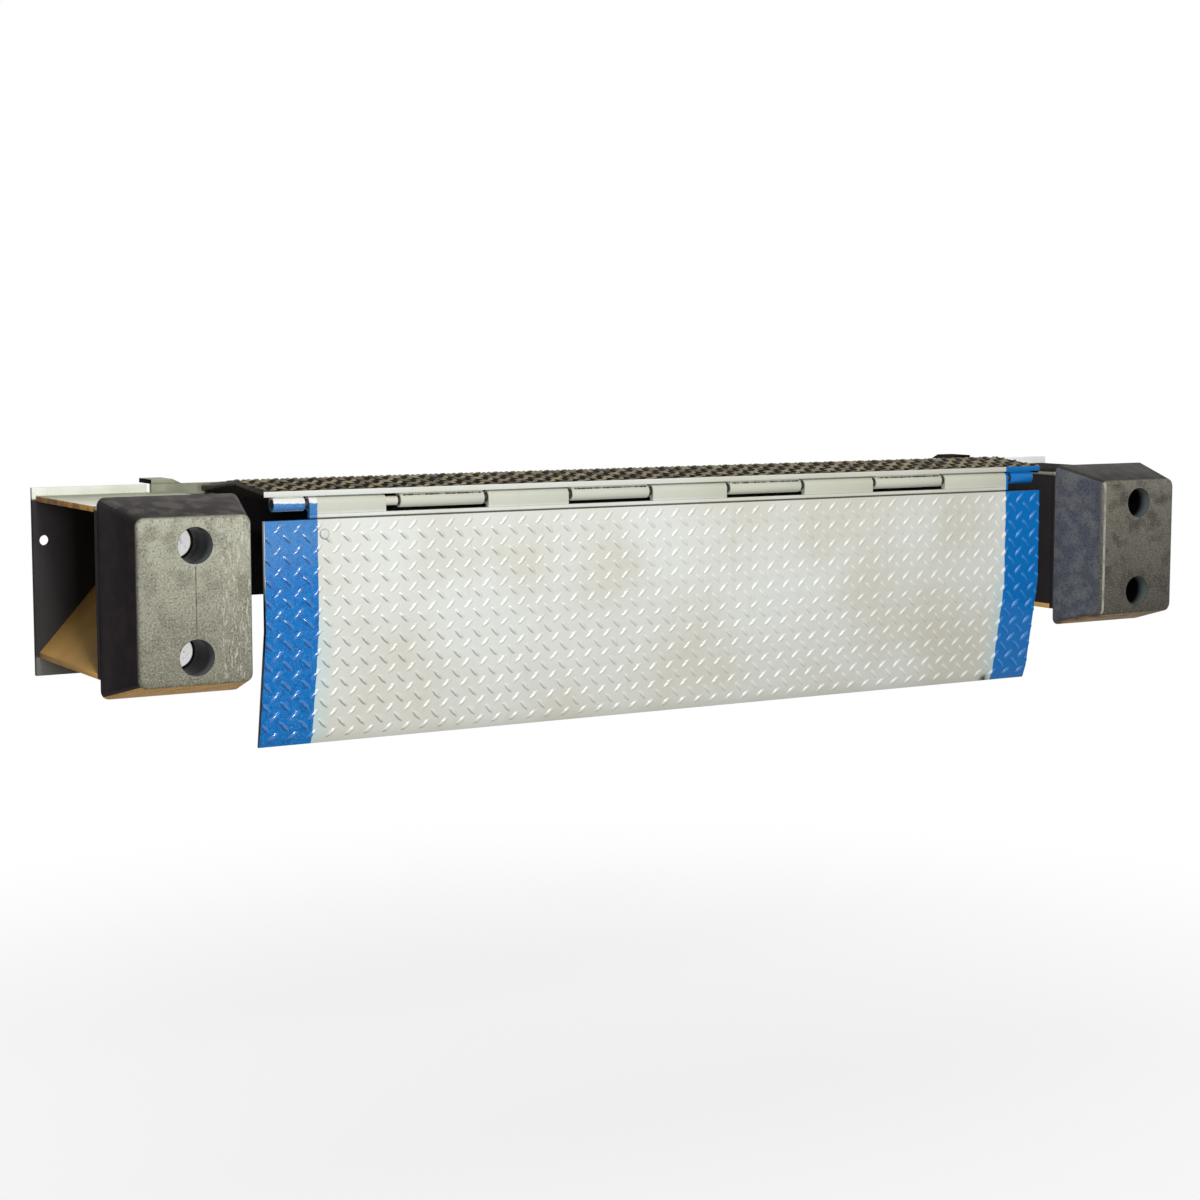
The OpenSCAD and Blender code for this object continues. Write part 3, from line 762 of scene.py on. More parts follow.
# %% Rubber finishes
# The fronts are dust with painted sheen, the left one lighter. Sides and tops are painted light and
# shade, and the warm undersides are painted bounce light.
LEFT_FRONT_DUST_AND_SHEEN = dict(
    upper=srgb(166, 166, 150), lower=srgb(114, 112, 97), scratch=srgb(208, 207, 193), patchy=0.6)
LEFT_SIDES_PAINTED_SHADE = (srgb(15, 10, 14), srgb(29, 21, 25))
LEFT_TOP_LIGHT_AND_SHADE = (srgb(32, 27, 25), srgb(74, 68, 64))
LEFT_UNDERSIDE_BOUNCE = (srgb(226, 177, 100), srgb(206, 160, 90))
LEFT_SCRATCHED_X = (bumper_low.x + bumper_high.x) / 2 + 25 * MM
RIGHT_FRONT_DUST_AND_SHEEN = dict(
    upper=srgb(116, 114, 104), lower=srgb(70, 68, 62), scratch=srgb(158, 156, 142), patchy=0.85)
RIGHT_SIDES_PAINTED_LIGHT = (srgb(74, 77, 86), srgb(94, 96, 99))
RIGHT_TOP_LIGHT_AND_SHADE = (srgb(38, 36, 32), srgb(60, 58, 51))
RIGHT_UNDERSIDE_BOUNCE = (srgb(170, 132, 76), srgb(96, 78, 54))
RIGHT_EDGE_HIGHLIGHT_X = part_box("right_bumper")[0].x + EDGE_HIGHLIGHT_INSET
# Painted sheen at the mouth of a well, turning to painted shade deeper in.
WELL_MOUTH_SHEEN = srgb(94, 104, 104)
WELL_DEPTH_SHADE = srgb(5, 4, 6)
WELL_DEPTHS = (bumper_low.y + 6 * MM, bumper_low.y + 30 * MM)
RIM_BROWN = srgb(58, 54, 48)
RIM_DARK = srgb(30, 27, 25)
RIM_PATCHES = dict(scale=90.0, low=0.4, high=0.6, detail=3.0)

rubber_of = {
    "left": (
        rubber_dust_and_light("left rubber sides with painted shade", LEFT_FRONT_DUST_AND_SHEEN, LEFT_SIDES_PAINTED_SHADE, scratched_x=LEFT_SCRATCHED_X),
        rubber_dust_and_light("left rubber top with painted light and shade", LEFT_FRONT_DUST_AND_SHEEN, LEFT_TOP_LIGHT_AND_SHADE),
        rubber_dust_and_light("left rubber underside with painted bounce light", LEFT_FRONT_DUST_AND_SHEEN, LEFT_UNDERSIDE_BOUNCE)),
    "right": (
        rubber_dust_and_light("right rubber sides with painted light", RIGHT_FRONT_DUST_AND_SHEEN, RIGHT_SIDES_PAINTED_LIGHT, highlight_x=RIGHT_EDGE_HIGHLIGHT_X),
        rubber_dust_and_light("right rubber top with painted light and shade", RIGHT_FRONT_DUST_AND_SHEEN, RIGHT_TOP_LIGHT_AND_SHADE),
        rubber_dust_and_light("right rubber underside with painted bounce light", RIGHT_FRONT_DUST_AND_SHEEN, RIGHT_UNDERSIDE_BOUNCE)),
}
well_sheen = Finish("well rubber with painted sheen and shade", roughness=0.34, specular=0.15)
well_shade_share = well_sheen.rise(well_sheen.axis("Y"), *WELL_DEPTHS)
well_sheen.feed("Base Color", well_sheen.mix(well_shade_share, WELL_MOUTH_SHEEN, WELL_DEPTH_SHADE))
well_sheen_and_shade = well_sheen.material
rim_rubber = two_tone("darker rims of the wells", RIM_BROWN, RIM_DARK, RIM_PATCHES,
                      roughness=DRY_ROUGHNESS, specular=RUBBER_SHINE)
print("rubber finishes:", [finish.name for side in rubber_of.values() for finish in side])

# %% [markdown]
# A solid from the frame has knife-sharp edges and loose triangles. On the real object
# every plate edge is a little rounded and catches a thin line of light. A copy of each
# solid is merged, its flat faces are joined, and its sharp edges are bevelled. A Bevel
# modifier could do that too, but here the mesh is finished at once. The copy then stands
# for the solid, which stays behind unseen.

# %% Rounding the solids
MERGE_REACH = 0.001 * MM
SHARP_ANGLE = math.radians(28)
FLAT_ANGLE = math.radians(0.4)
SMOOTH_ANGLE = math.radians(32)


def round_edges(work, edges, width, segments):
    """Bevels edges into a round."""
    bmesh.ops.bevel(
        work, geom=edges, offset=width, offset_type="OFFSET", segments=segments, profile=0.5,
        affect="EDGES", clamp_overlap=True)


def rounded_copy(node, edge, segments=2):
    """A merged copy of a solid's mesh with its sharp edges rounded."""
    mesh = nodes[node].data.copy()
    mesh.materials.clear()
    work = bmesh.new()
    work.from_mesh(mesh)
    bmesh.ops.remove_doubles(work, verts=work.verts, dist=MERGE_REACH)
    bmesh.ops.dissolve_limit(
        work, angle_limit=FLAT_ANGLE, verts=work.verts, edges=work.edges)
    sharp = [e for e in work.edges if e.is_manifold and e.calc_face_angle(0.0) > SHARP_ANGLE]
    round_edges(work, sharp, edge, segments)
    work.to_mesh(mesh)
    work.free()
    for face in mesh.polygons:
        face.use_smooth = True
    mesh.set_sharp_from_angle(angle=SMOOTH_ANGLE)
    return mesh


def dress(node, mesh, *finishes):
    """Puts a mesh in the place of a solid, on the same body, with the given finishes."""
    piece = bpy.data.objects.new(node + "_finished", mesh)
    bpy.context.scene.collection.objects.link(piece)
    for finish in finishes:
        mesh.materials.append(finish)
    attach(piece, body_of_node[node])
    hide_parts(node)


print("sharp edges beyond", round(math.degrees(SHARP_ANGLE)), "degrees are rounded")

# %% [markdown]
# Each solid first gets the finish of its paint slot. Bolts and pins are round already, so
# they stay as they are. The plates and knuckles are dressed with rounded copies, and
# those that differ from the rest of their slot are named here. Pieces whose faces need
# more than one finish are left for the next steps.

# %% Finishes by slot
EDGE_ROUND = 1.0 * MM
KNUCKLE_ROUND = 0.8 * MM
PINS = ("lip_hinge_pin", "rear_hinge_pin")
SORTED_LATER = ("deck_plate", "floor_tab", "box_top")
finish_of_slot = {
    "grey_steel": grey_steel,
    "silver_paint": lip_silver,
    "blue_paint": blue_paint,
    "bare_steel": zinc,
    "black_rubber": rubber_of["right"][0],
}
finish_of_node = {
    # The back plates take lit copies of the steel: painted light.
    "left_back_plate": lit_steel,
    "right_back_plate": glaring_steel,
    "deck_rear_knuckles": plain_silver,
    # The side bars and ribs under the deck take the dark deck finish as painted shade.
    "deck_left_side_bar": deck_brown_and_shade,
    "deck_right_side_bar": deck_brown_and_shade,
    "deck_ribs": deck_brown_and_shade,
}
# The diagonals and bottoms take the painted bounce light.
for side in ("left", "right"):
    for bounce_lit in ("_box_diagonal", "_box_bottom"):
        finish_of_node[side + bounce_lit] = bounce_lit_steel

for node, solid in nodes.items():
    slot_finish = finish_of_slot[slot_of_node[node]]
    solid.material_slots[0].material = shaded_pin_steel if node in PINS else slot_finish
    if slot_of_node[node] in ("bare_steel", "black_rubber") or node.endswith(SORTED_LATER):
        continue
    edge = KNUCKLE_ROUND if "knuckle" in node else EDGE_ROUND
    dress(node, rounded_copy(node, edge), finish_of_node.get(node, slot_finish))

# %% [markdown]
# The right floor tab is as dark as the deck, and the left one has painted shade on its cut
# end, which looks away from the light. The left box top carries painted glare on its upper
# face and the right one the painted shadow of the deck, and the outer ends of both carry
# painted warm bounce light. Faces that look to a side are found by their normals.

# %% Floor tabs and box tops
STEEP = 0.7
# The left box top takes painted glare, the right one the painted shadow of the deck.
for side, outward, top_painted_light in (("left", -1, glare_lit_top), ("right", 1, deck_brown_and_shade)):
    tab_mesh = rounded_copy(side + "_floor_tab", EDGE_ROUND)
    for face in tab_mesh.polygons:
        face.material_index = 1 if side == "right" or face.normal.x < -STEEP else 0
    dress(side + "_floor_tab", tab_mesh, grey_steel, deck_brown_and_shade)

    top_mesh = rounded_copy(side + "_box_top", EDGE_ROUND)
    for face in top_mesh.polygons:
        upper_face = 2 if face.normal.z > STEEP else 0
        face.material_index = 1 if outward * face.normal.x > STEEP else upper_face
    dress(side + "_box_top", top_mesh, grey_steel, bounce_lit_end, top_painted_light)
print("floor tabs and box tops dressed")

# %% [markdown]
# A bumper's faces are sorted by where they look and where they lie: sides and front, top,
# underside, the walls of the two wells, and the rims of the wells, which are darker. One
# material with a mask for each could do the same, but five plain ones are easier to read.

# %% Bumpers
BUMPER_ROUND = 1.6 * MM
BUMPER_SEGMENTS = 3
WELL_RADIUS = 30.5 * MM
RIM_DEPTH = 1.5 * MM


def well_middles(side):
    """The middles of a bumper's upper and lower well, which are those of its bolts."""
    boxes = [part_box(f"{side}_{bolt}_bolt") for bolt in ("upper", "lower")]
    return [((low.x + high.x) / 2, (low.z + high.z) / 2) for low, high in boxes]


def bumper_face_kind(face, wells):
    """Which of the five finishes a face of a bumper gets."""
    for x, z in wells:
        if math.hypot(face.center.x - x, face.center.z - z) < WELL_RADIUS:
            return 4 if face.center.y < bumper_low.y + RIM_DEPTH else 3
    if face.normal.z > STEEP:
        return 1
    return 2 if face.normal.z < -STEEP else 0


for side in ("left", "right"):
    wells = well_middles(side)
    bumper_mesh = rounded_copy(side + "_bumper", BUMPER_ROUND, BUMPER_SEGMENTS)
    for face in bumper_mesh.polygons:
        face.material_index = bumper_face_kind(face, wells)
    dress(side + "_bumper", bumper_mesh, *rubber_of[side], well_sheen_and_shade, rim_rubber)
    print(side, "bumper faces:", len(bumper_mesh.polygons))

# %% [markdown]
# The deck plate has three finishes: the walked-on top is dark, its edges keep the silver
# paint with blue at the right end, and the underside is plain silver. Where a face looks
# tells which one it gets.

# %% Deck plate
UPWARD = 0.9
deck_mesh = rounded_copy("deck_plate", EDGE_ROUND)
for face in deck_mesh.polygons:
    below = 2 if face.normal.z < -UPWARD else 1
    face.material_index = 0 if face.normal.z > UPWARD else below
dress("deck_plate", deck_mesh, deck_brown_and_shade, deck_edge_silver, plain_silver)
print("deck plate faces:", len(deck_mesh.polygons))

# %% [markdown]
# Geometry Nodes make what repeats. A tree has named inputs, ends by making its instances
# real, shading them smooth and giving them a finish, and becomes a piece in four moves: an
# empty object carries the modifier, the inputs are set, the evaluated result is copied
# into a plain mesh, and the carrier is deleted.

# %% From tree to mesh
def start_tree(name, **inputs):
    """A tree with named inputs of given kinds, and its inputs' sockets."""
    tree = bpy.data.node_groups.new(name, "GeometryNodeTree")
    for kind, labels in inputs.items():
        for label in labels:
            tree.interface.new_socket(name=label, in_out="INPUT", socket_type="NodeSocket" + kind)
    tree.interface.new_socket(name="Geometry", in_out="OUTPUT", socket_type="NodeSocketGeometry")
    return tree, add_node(tree, "NodeGroupInput").outputs


def number(tree, operation, first, second=0.0):
    return add_node(tree, "ShaderNodeMath", {0: first, 1: second}, operation=operation).outputs[0]


def end_tree(tree, instances, finish):
    """Makes instances real and smooth, gives them their finish and hands them out."""
    real = add_node(tree, "GeometryNodeRealizeInstances", {"Geometry": instances})
    smooth = add_node(tree, "GeometryNodeSetShadeSmooth", {"Geometry": real.outputs["Geometry"]})
    coat = add_node(tree, "GeometryNodeSetMaterial", {
        "Geometry": smooth.outputs["Geometry"], "Material": finish})
    add_node(tree, "NodeGroupOutput", {"Geometry": coat.outputs["Geometry"]})


def mesh_from_tree(name, tree, values):
    """Evaluates a tree with the given inputs and returns a plain mesh."""
    carrier = bpy.data.objects.new(name, bpy.data.meshes.new(name))
    bpy.context.scene.collection.objects.link(carrier)
    modifier = carrier.modifiers.new("tree", "NODES")
    modifier.node_group = tree
    for item in tree.interface.items_tree:
        if item.in_out == "INPUT":
            modifier[item.identifier] = values[item.name]
    depsgraph = bpy.context.evaluated_depsgraph_get()
    mesh = bpy.data.meshes.new_from_object(carrier.evaluated_get(depsgraph))
    mesh.name = name
    carrier.modifiers.remove(modifier)
    bpy.data.objects.remove(carrier)
    return mesh


print("trees can be turned into meshes")

# %% [markdown]
# Tread plate carries rows of raised lozenges that lie at right angles to each other. They
# could be a bump in the paint, but they show along the edges of the plate, so they are
# geometry. The tree lays out two grids of points, the second half a step further, with one
# low blunt cone per point, drawn out into a lozenge. Its straight flanks catch the light
# as rolled ones do.

# %% Tread tree
LOZENGE_SIDES = 16
LOZENGE_TOP_SHARE = 0.42
SPARE_ROWS = 3
# For each grid, its shift in steps and the turn of its lozenges.
GRIDS = ((0.0, math.pi / 4), (0.5, -math.pi / 4))


def build_tread_tree():
    tree, inputs = start_tree(
        "tread lozenges", Material=["Finish"],
        Float=["Width", "Height", "Step", "Length", "Breadth", "Rise", "First X", "First Y"])
    step = inputs["Step"]
    cone = add_node(tree, "GeometryNodeMeshCone", {
        "Vertices": LOZENGE_SIDES, "Radius Top": LOZENGE_TOP_SHARE, "Radius Bottom": 1.0, "Depth": 1.0})
    flatten = add_node(tree, "ShaderNodeCombineXYZ", {
        "X": number(tree, "MULTIPLY", inputs["Length"], 0.5),
        "Y": number(tree, "MULTIPLY", inputs["Breadth"], 0.5), "Z": inputs["Rise"]})
    lozenge = add_node(tree, "GeometryNodeTransform", {
        "Geometry": cone.outputs["Mesh"], "Scale": flatten.outputs[0]})

    grid_inputs = {}
    for axis, extent in (("X", inputs["Width"]), ("Y", inputs["Height"])):
        rows = number(tree, "FLOOR", number(tree, "DIVIDE", extent, step))
        rows = number(tree, "ADD", rows, SPARE_ROWS)
        gaps = number(tree, "SUBTRACT", rows, 1.0)
        grid_inputs["Vertices " + axis] = rows
        grid_inputs["Size " + axis] = number(tree, "MULTIPLY", gaps, step)
    join = add_node(tree, "GeometryNodeJoinGeometry")
    for shift, turn in GRIDS:
        aside = number(tree, "MULTIPLY", step, shift)
        offset = add_node(tree, "ShaderNodeCombineXYZ", {
            axis: number(tree, "ADD", inputs["First " + axis], aside) for axis in ("X", "Y")})
        grid = add_node(tree, "GeometryNodeMeshGrid", grid_inputs)
        moved = add_node(tree, "GeometryNodeTransform", {
            "Geometry": grid.outputs["Mesh"], "Translation": offset.outputs[0]})
        place = add_node(tree, "GeometryNodeInstanceOnPoints", {
            "Points": moved.outputs["Geometry"], "Instance": lozenge.outputs["Geometry"],
            "Rotation": (0, 0, turn)})
        tree.links.new(place.outputs["Instances"], join.inputs["Geometry"])
    end_tree(tree, join.outputs["Geometry"], inputs["Finish"])
    return tree


tread_tree = build_tread_tree()
print("tread tree:", len(tread_tree.nodes), "nodes")

# %% [markdown]
# A plate is cut from a larger treaded sheet, so the lozenges at its edges are cut
# through. The tread is laid out flat, trimmed along the four sides of its panel, and
# the cut lozenges are closed again. Scraps too small to see are dropped. Only then is the
# tread moved onto the plate.

# %% Trimming
SCRAP = 6 * MM
CUT_REACH = 0.0001 * MM


def drop_scraps(work):
    """Deletes the pieces of lozenges that are shorter than a scrap."""
    waiting = set(work.verts)
    scraps = []
    while waiting:
        island = [waiting.pop()]
        for vertex in island:
            for edge in vertex.link_edges:
                other = edge.other_vert(vertex)
                if other in waiting:
                    waiting.remove(other)
                    island.append(other)
        heights = [vertex.co.y for vertex in island]
        if max(heights) - min(heights) < SCRAP:
            scraps.extend(island)
    bmesh.ops.delete(work, geom=scraps, context="VERTS")


def trim_to_panel(mesh, width, low, high):
    """Cuts a flat tread to its panel, from low to high, and closes the cut lozenges."""
    work = bmesh.new()
    work.from_mesh(mesh)
    sides = (((-width / 2, 0, 0), (-1, 0, 0)), ((width / 2, 0, 0), (1, 0, 0)),
             ((0, low, 0), (0, -1, 0)), ((0, high, 0), (0, 1, 0)))
    for point, outward in sides:
        bmesh.ops.bisect_plane(
            work, geom=work.verts[:] + work.edges[:] + work.faces[:], dist=CUT_REACH,
            plane_co=point, plane_no=outward, clear_outer=True)
        rim = [edge for edge in work.edges if edge.is_boundary]
        bmesh.ops.holes_fill(work, edges=rim, sides=0)
    drop_scraps(work)
    bmesh.ops.recalc_face_normals(work, faces=work.faces)
    work.to_mesh(mesh)
    work.free()


print("tread can be trimmed")

# %% [markdown]
# A panel of tread runs up from a line at right angles to the object's width, and looks
# out at right angles to that. Its lozenges keep step with those of its neighbours. The
# meshes of one piece are joined, and the piece is put on its body.

# %% Tread panels
TREAD_STEP = 35.55 * MM
LOZENGE_LENGTH = 26 * MM
LOZENGE_BREADTH = 8.6 * MM
LOZENGE_RISE = 2.4 * MM
FIRST_X = 4.3 * MM
PANEL_EDGE = 1.5 * MM
CREASE_ANGLE = math.radians(60)


def middle_lozenge(first, low, high):
    """Where the middle of a grid lies that covers low to high in step with the first lozenge."""
    rows = math.floor((high - low) / TREAD_STEP) + SPARE_ROWS
    nearest = first + round(((low + high) / 2 - first) / TREAD_STEP) * TREAD_STEP
    return nearest if rows % 2 else nearest + TREAD_STEP / 2


def profile_point(point):
    """The same point in the middle plane of the object."""
    return Vector((0, point.y, point.z))


def tread_panel(name, start, line, low, high, first_y, finish):
    """A trimmed tread on a flat panel; low, high and first_y run along the line from start."""
    upward = line.normalized()
    outward = Vector((0, -upward.z, upward.y))
    width = 2 * (half_width - PANEL_EDGE)
    mesh = mesh_from_tree(name, tread_tree, {
        "Width": width, "Height": high - low, "Step": TREAD_STEP, "Length": LOZENGE_LENGTH,
        "Breadth": LOZENGE_BREADTH, "Rise": LOZENGE_RISE, "Finish": finish,
        "First X": middle_lozenge(FIRST_X, -width / 2, width / 2),
        "First Y": middle_lozenge(first_y, low, high)})
    trim_to_panel(mesh, width, low, high)
    turn = Matrix((Vector((1, 0, 0)), upward, outward)).transposed().to_4x4()
    mesh.transform(Matrix.Translation(start) @ turn)
    return mesh


def joined_piece(name, body, finish, meshes):
    """One riding piece out of several meshes, creased where its faces meet sharply."""
    work = bmesh.new()
    for mesh in meshes:
        work.from_mesh(mesh)
    whole = bpy.data.meshes.new(name)
    work.to_mesh(whole)
    work.free()
    whole.set_sharp_from_angle(angle=CREASE_ANGLE)
    for mesh in meshes:
        bpy.data.meshes.remove(mesh)
    whole.materials.append(finish)
    piece = bpy.data.objects.new(name, whole)
    bpy.context.scene.collection.objects.link(piece)
    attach(piece, body)
    print(name, "faces:", len(whole.polygons))
    return piece


print(f"tread step {TREAD_STEP / MM} mm")

# %% [markdown]
# The lip has a treaded panel above its bend and one below, where it leans back. A third
# carries the tread down over the thinner tip, short of its edge. The flanks that look down
# to the left, which their normals tell, get painted shade.

# %% Lip tread
LIP_FIRST_ABOVE_BEND = 28.0 * MM
BELOW_BEND = 50 * MM
SMOOTH_TIP = 6.0 * MM
LOWER_LEFT = 0.66
bend = Vector((0, lip_front_y, lip_bend_z))
bevel = profile_point(min((p for p in lip_points if p.z < lip_bend_z - BELOW_BEND), key=lambda p: p.y))
upper_line = Vector((0, 0, lip_top_z - lip_bend_z))
lower_line = bend - bevel
tip_line = bevel - profile_point(lip_tip)
upper = tread_panel(
    "lip tread above", bend, upper_line, PANEL_EDGE, upper_line.length - PANEL_EDGE,
    LIP_FIRST_ABOVE_BEND, tread_silver)
lower = tread_panel(
    "lip tread below", bend, lower_line, -lower_line.length, -PANEL_EDGE,
    LIP_FIRST_ABOVE_BEND, tread_silver)
tip = tread_panel(
    "lip tread on the tip", bevel, tip_line, SMOOTH_TIP - tip_line.length, 0.0,
    LIP_FIRST_ABOVE_BEND + lower_line.length, tread_silver)
lip_tread = joined_piece("lip_tread", "lip", tread_silver, [upper, lower, tip])
# The flanks that look down and left take the finish with painted shade.
lip_tread.data.materials.append(shaded_flank_silver)
for face in lip_tread.data.polygons:
    face.material_index = 1 if face.normal.x + face.normal.z < -LOWER_LEFT else 0

# %% [markdown]
# The deck's tread lies on the two slopes that meet at the crown. It could be one sheet
# that is bent over the crown, but two flat panels are simpler and keep the crown crisp.

# %% Deck tread
DECK_FIRST = 18 * MM
crown = profile_point(deck_crown)
deck_panels = []
for label, start, end in (
        ("front", profile_point(deck_front), crown), ("rear", crown, profile_point(deck_rear))):
    slope = end - start
    deck_panels.append(tread_panel(
        "deck tread " + label, start, slope, PANEL_EDGE, slope.length - PANEL_EDGE,
        DECK_FIRST, lozenge_scuff_and_glint))
joined_piece("deck_tread", "deck", lozenge_scuff_and_glint, deck_panels)

# %% [markdown]
# Weld beads are rows of overlapping blobs, each a little different. A round strip with a
# bump would look too even, so a second tree puts flattened balls along a line and gives
# each a random size from a fixed seed.

# %% Weld tree
BALL_SEGMENTS = 8
BALL_RINGS = 5
WELD_STEP = 3.4 * MM
WELD_SPREAD = (0.78, 1.15)


def build_weld_tree():
    tree, inputs = start_tree(
        "weld bead", Vector=["Start", "End", "Blob"], Float=["Step", "Smallest", "Largest"],
        Int=["Seed"], Material=["Finish"])
    run = add_node(
        tree, "ShaderNodeVectorMath", {0: inputs["Start"], 1: inputs["End"]}, operation="DISTANCE")
    line = add_node(tree, "GeometryNodeMeshLine", {
        "Count": number(tree, "DIVIDE", run.outputs["Value"], inputs["Step"]),
        "Start Location": inputs["Start"], "Offset": inputs["End"]}, mode="END_POINTS")
    ball = add_node(tree, "GeometryNodeMeshUVSphere", {
        "Segments": BALL_SEGMENTS, "Rings": BALL_RINGS, "Radius": 1.0})
    blob = add_node(tree, "GeometryNodeTransform", {
        "Geometry": ball.outputs["Mesh"], "Scale": inputs["Blob"]})
    size = add_node(tree, "FunctionNodeRandomValue", {
        2: inputs["Smallest"], 3: inputs["Largest"], "Seed": inputs["Seed"]}, data_type="FLOAT")
    place = add_node(tree, "GeometryNodeInstanceOnPoints", {
        "Points": line.outputs["Mesh"], "Instance": blob.outputs["Geometry"], "Scale": size.outputs[1]})
    end_tree(tree, place.outputs["Instances"], inputs["Finish"])
    return tree


weld_tree = build_weld_tree()


def weld_bead(name, ends, y, z, blob, seed, finish, spread=WELD_SPREAD):
    """A row of blobs between two ends along the object's width."""
    return mesh_from_tree(name, weld_tree, {
        "Start": (ends[0], y, z), "End": (ends[1], y, z), "Blob": blob, "Step": WELD_STEP,
        "Smallest": spread[0], "Largest": spread[1], "Seed": seed, "Finish": finish})


print("weld tree:", len(weld_tree.nodes), "nodes")

# %% [markdown]
# A bead runs along the top of every deck knuckle, in the notch between the round tube
# and the underside of the deck. It is what makes that joint look wavy.

# %% Knuckle welds
KNUCKLE_BEAD = (2.6 * MM, 2.6 * MM, 2.2 * MM)
BEAD_SET_BACK = 6.5 * MM
BEAD_SINK = 0.9 * MM
BEAD_END_GAP = 4 * MM
long_knuckles = sorted(node for node in nodes if node.startswith("deck_knuckle_"))
deck_knuckles = sorted(
    node for node in nodes
    if node.startswith("deck_") and "knuckle" in node and node != "deck_rear_knuckles")
deck_under_z = min(p.z for p in deck_points if p.y < lip_front_y + TOUCH)
knuckle_beads = []
for seed, node in enumerate(deck_knuckles):
    low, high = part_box(node)
    ends = (low.x + BEAD_END_GAP, high.x - BEAD_END_GAP)
    knuckle_beads.append(weld_bead(
        "bead " + node, ends, low.y + BEAD_SET_BACK, deck_under_z - BEAD_SINK,
        KNUCKLE_BEAD, seed, lip_silver))
joined_piece("knuckle_weld_beads", "deck", lip_silver, knuckle_beads)

# %% [markdown]
# Below the beads of the four long knuckles lies the notch between the round tube and the
# deck, deep in shade. The shade is painted: one more row of blobs, small and dark, halfway
# down the round, which makes the notch look uneven.

# %% Painted shade in the knuckle notches
NOTCH_SHADE_BLOB = (3.4 * MM, 1.2 * MM, 1.6 * MM)
NOTCH_SHADE_SPREAD = (0.35, 1.15)
NOTCH_SHADE_ANGLE = math.radians(48)
NOTCH_SHADE_END_GAP = 8 * MM
NOTCH_SHADE_FIRST_SEED = 40
# Painted shade for the notch above each long knuckle.
NOTCH_SHADE_DARK = srgb(30, 26, 20)
NOTCH_SHADE_BROWN = srgb(78, 70, 54)
NOTCH_SHADE_PATCHES = dict(scale=260.0, low=0.45, high=0.65, detail=3.0)
notch_shade = two_tone("painted notch shade", NOTCH_SHADE_DARK, NOTCH_SHADE_BROWN, NOTCH_SHADE_PATCHES, roughness=0.7)
notch_shades = []
for seed, node in enumerate(long_knuckles, NOTCH_SHADE_FIRST_SEED):
    low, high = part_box(node)
    radius = hinge_axis_y - low.y
    ends = (low.x + NOTCH_SHADE_END_GAP, high.x - NOTCH_SHADE_END_GAP)
    shade_y = hinge_axis_y - radius * math.cos(NOTCH_SHADE_ANGLE)
    shade_z = hinge_axis_z + radius * math.sin(NOTCH_SHADE_ANGLE)
    notch_shades.append(weld_bead(
        "notch shade " + node, ends, shade_y, shade_z, NOTCH_SHADE_BLOB, seed, notch_shade, NOTCH_SHADE_SPREAD))
joined_piece("knuckle_notch_shade", "deck", notch_shade, notch_shades)

# %% [markdown]
# A round plug, filed almost flat, closes an old hole beside the left blue band. A painted
# ring would not catch the light as its rounded rim does, so it is a short cylinder, half
# sunk into the plate.

# %% Lip plug
PLUG_RISE = 3.2 * MM
PLUG_ROUND = 2.8 * MM
PLUG_SIDES = 32
PLUG_SEGMENTS = 3
plug_work = bmesh.new()
bmesh.ops.create_cone(
    plug_work, cap_ends=True, segments=PLUG_SIDES, radius1=PLUG_RADIUS, radius2=PLUG_RADIUS,
    depth=2 * PLUG_RISE)
plug_rims = [edge for edge in plug_work.edges if edge.calc_face_angle(0.0) > SHARP_ANGLE]
round_edges(plug_work, plug_rims, PLUG_ROUND, PLUG_SEGMENTS)
plug_mesh = bpy.data.meshes.new("plug")
plug_work.to_mesh(plug_mesh)
plug_work.free()
plug_mesh.transform(Matrix.Translation(PLUG_PLACE) @ Matrix.Rotation(math.pi / 2, 4, "X"))
for face in plug_mesh.polygons:
    face.use_smooth = True
joined_piece("lip_plug", "lip", tread_silver, [plug_mesh])

# %% [markdown]
# The side boxes are welded to their back plates. The tree for the hinge makes these beads
# too: one lies in the corner above each top plate, and another below each bottom plate.

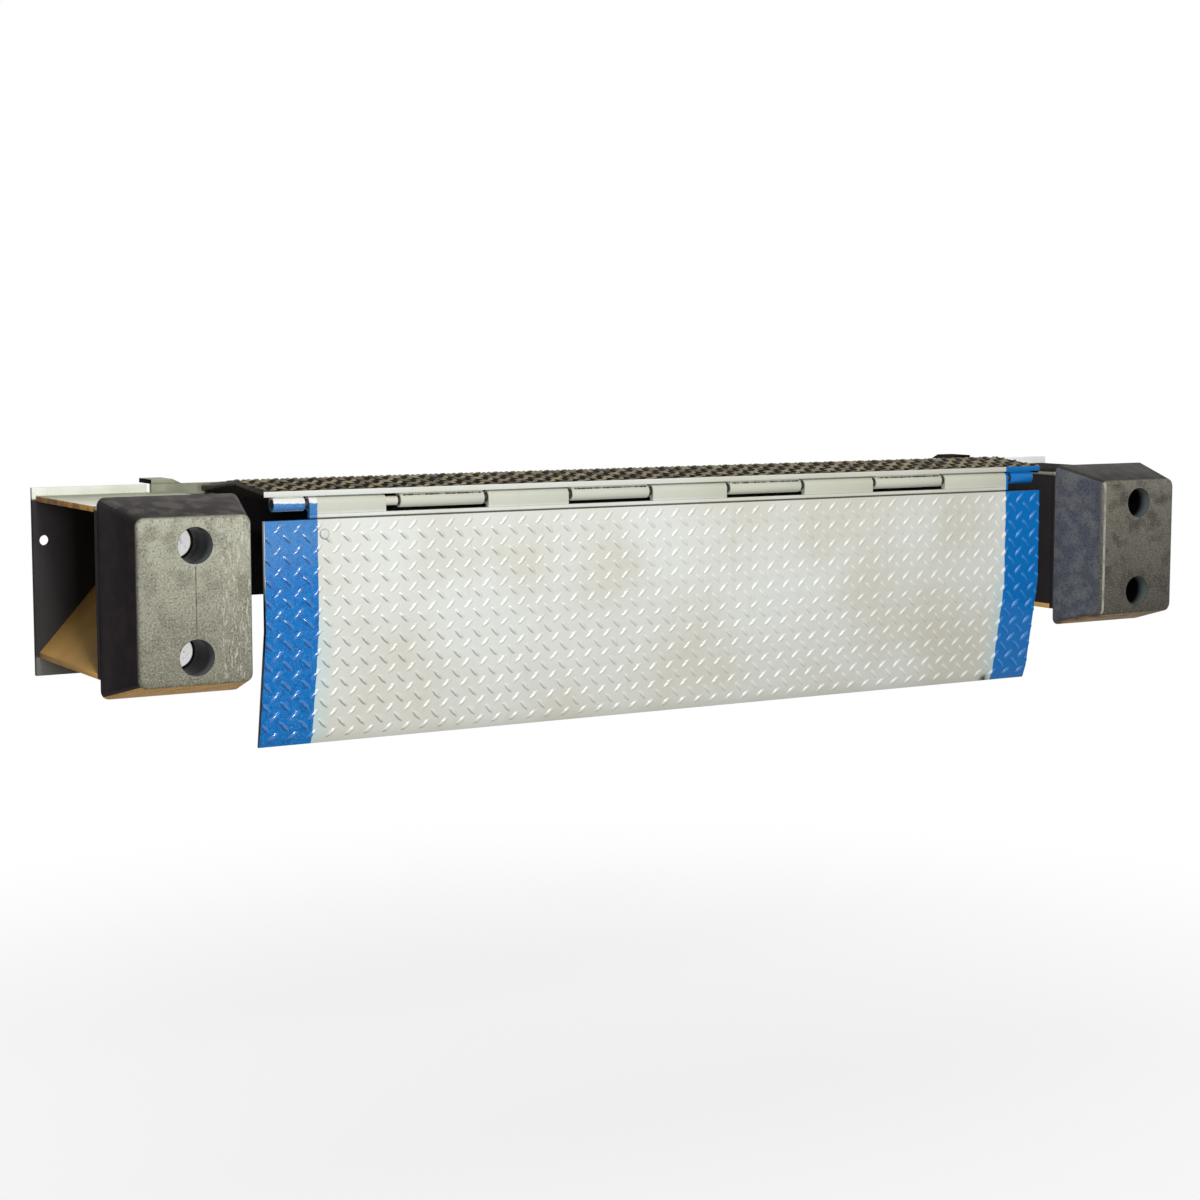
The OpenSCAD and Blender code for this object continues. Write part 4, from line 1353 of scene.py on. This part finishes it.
# %% Box welds
BOX_BEAD = (3.2 * MM, 3.2 * MM, 3.2 * MM)
TOP_SEEDS = {"left": 20, "right": 21}
BOTTOM_SEEDS = {"left": 30, "right": 31}
box_beads = []
for side in ("left", "right"):
    back_low, back_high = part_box(side + "_back_plate")
    top_low, top_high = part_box(side + "_box_top")
    bottom_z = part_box(side + "_box_bottom")[0].z
    ends = (max(top_low.x, back_low.x) + BEAD_END_GAP, min(top_high.x, back_high.x) - BEAD_END_GAP)
    for z, seeds in ((top_high.z, TOP_SEEDS), (bottom_z, BOTTOM_SEEDS)):
        # The beads share the back plates' painted light.
        box_beads.append(weld_bead(
            f"bead {side} {seeds[side]}", ends, back_low.y, z, BOX_BEAD, seeds[side], lit_steel))
joined_piece("box_weld_beads", "frame", lit_steel, box_beads)

# %% [markdown]
# A bumper's mould leaves a thin raised line down its front, between the two wells. It
# could be drawn in the rubber's bump, but it is a real ridge, so it is made as a low strip
# with a round top, half sunk into the rubber. On the scuffed left front, dirt along it
# makes it darker than the rest.

# %% Mould lines
MOULD_LINE_HALF = 0.9 * MM
MOULD_LINE_RISE = 0.7 * MM
MOULD_LINE_SIDES = 12
WELL_CLEAR = 33 * MM
LINE_DARK = srgb(88, 86, 75)
LINE_PALE = srgb(120, 118, 103)
LINE_PATCHES = dict(scale=60.0, low=0.4, high=0.6, detail=3.0)


def mould_line(side, rubber):
    (x, upper_z), (_, lower_z) = well_middles(side)
    front_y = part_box(side + "_bumper")[0].y
    work = bmesh.new()
    rings = []
    for z in (lower_z + WELL_CLEAR, upper_z - WELL_CLEAR):
        angles = [2 * math.pi * i / MOULD_LINE_SIDES for i in range(MOULD_LINE_SIDES)]
        rings.append([
            work.verts.new((
                x + MOULD_LINE_HALF * math.cos(angle), front_y - MOULD_LINE_RISE * math.sin(angle), z))
            for angle in angles])
        work.faces.new(rings[-1])
    low_ring, top_ring = rings
    for i in range(MOULD_LINE_SIDES):
        k = (i + 1) % MOULD_LINE_SIDES
        work.faces.new((low_ring[i], low_ring[k], top_ring[k], top_ring[i]))
    bmesh.ops.recalc_face_normals(work, faces=work.faces)
    mesh = bpy.data.meshes.new(side + " mould line")
    work.to_mesh(mesh)
    work.free()
    joined_piece(side + "_mould_line", "frame", rubber, [mesh])


dusty_line = two_tone("dusty mould line", LINE_DARK, LINE_PALE, LINE_PATCHES,
                      roughness=DRY_ROUGHNESS, specular=RUBBER_SHINE)
mould_line("left", dusty_line)
mould_line("right", rubber_of["right"][0])
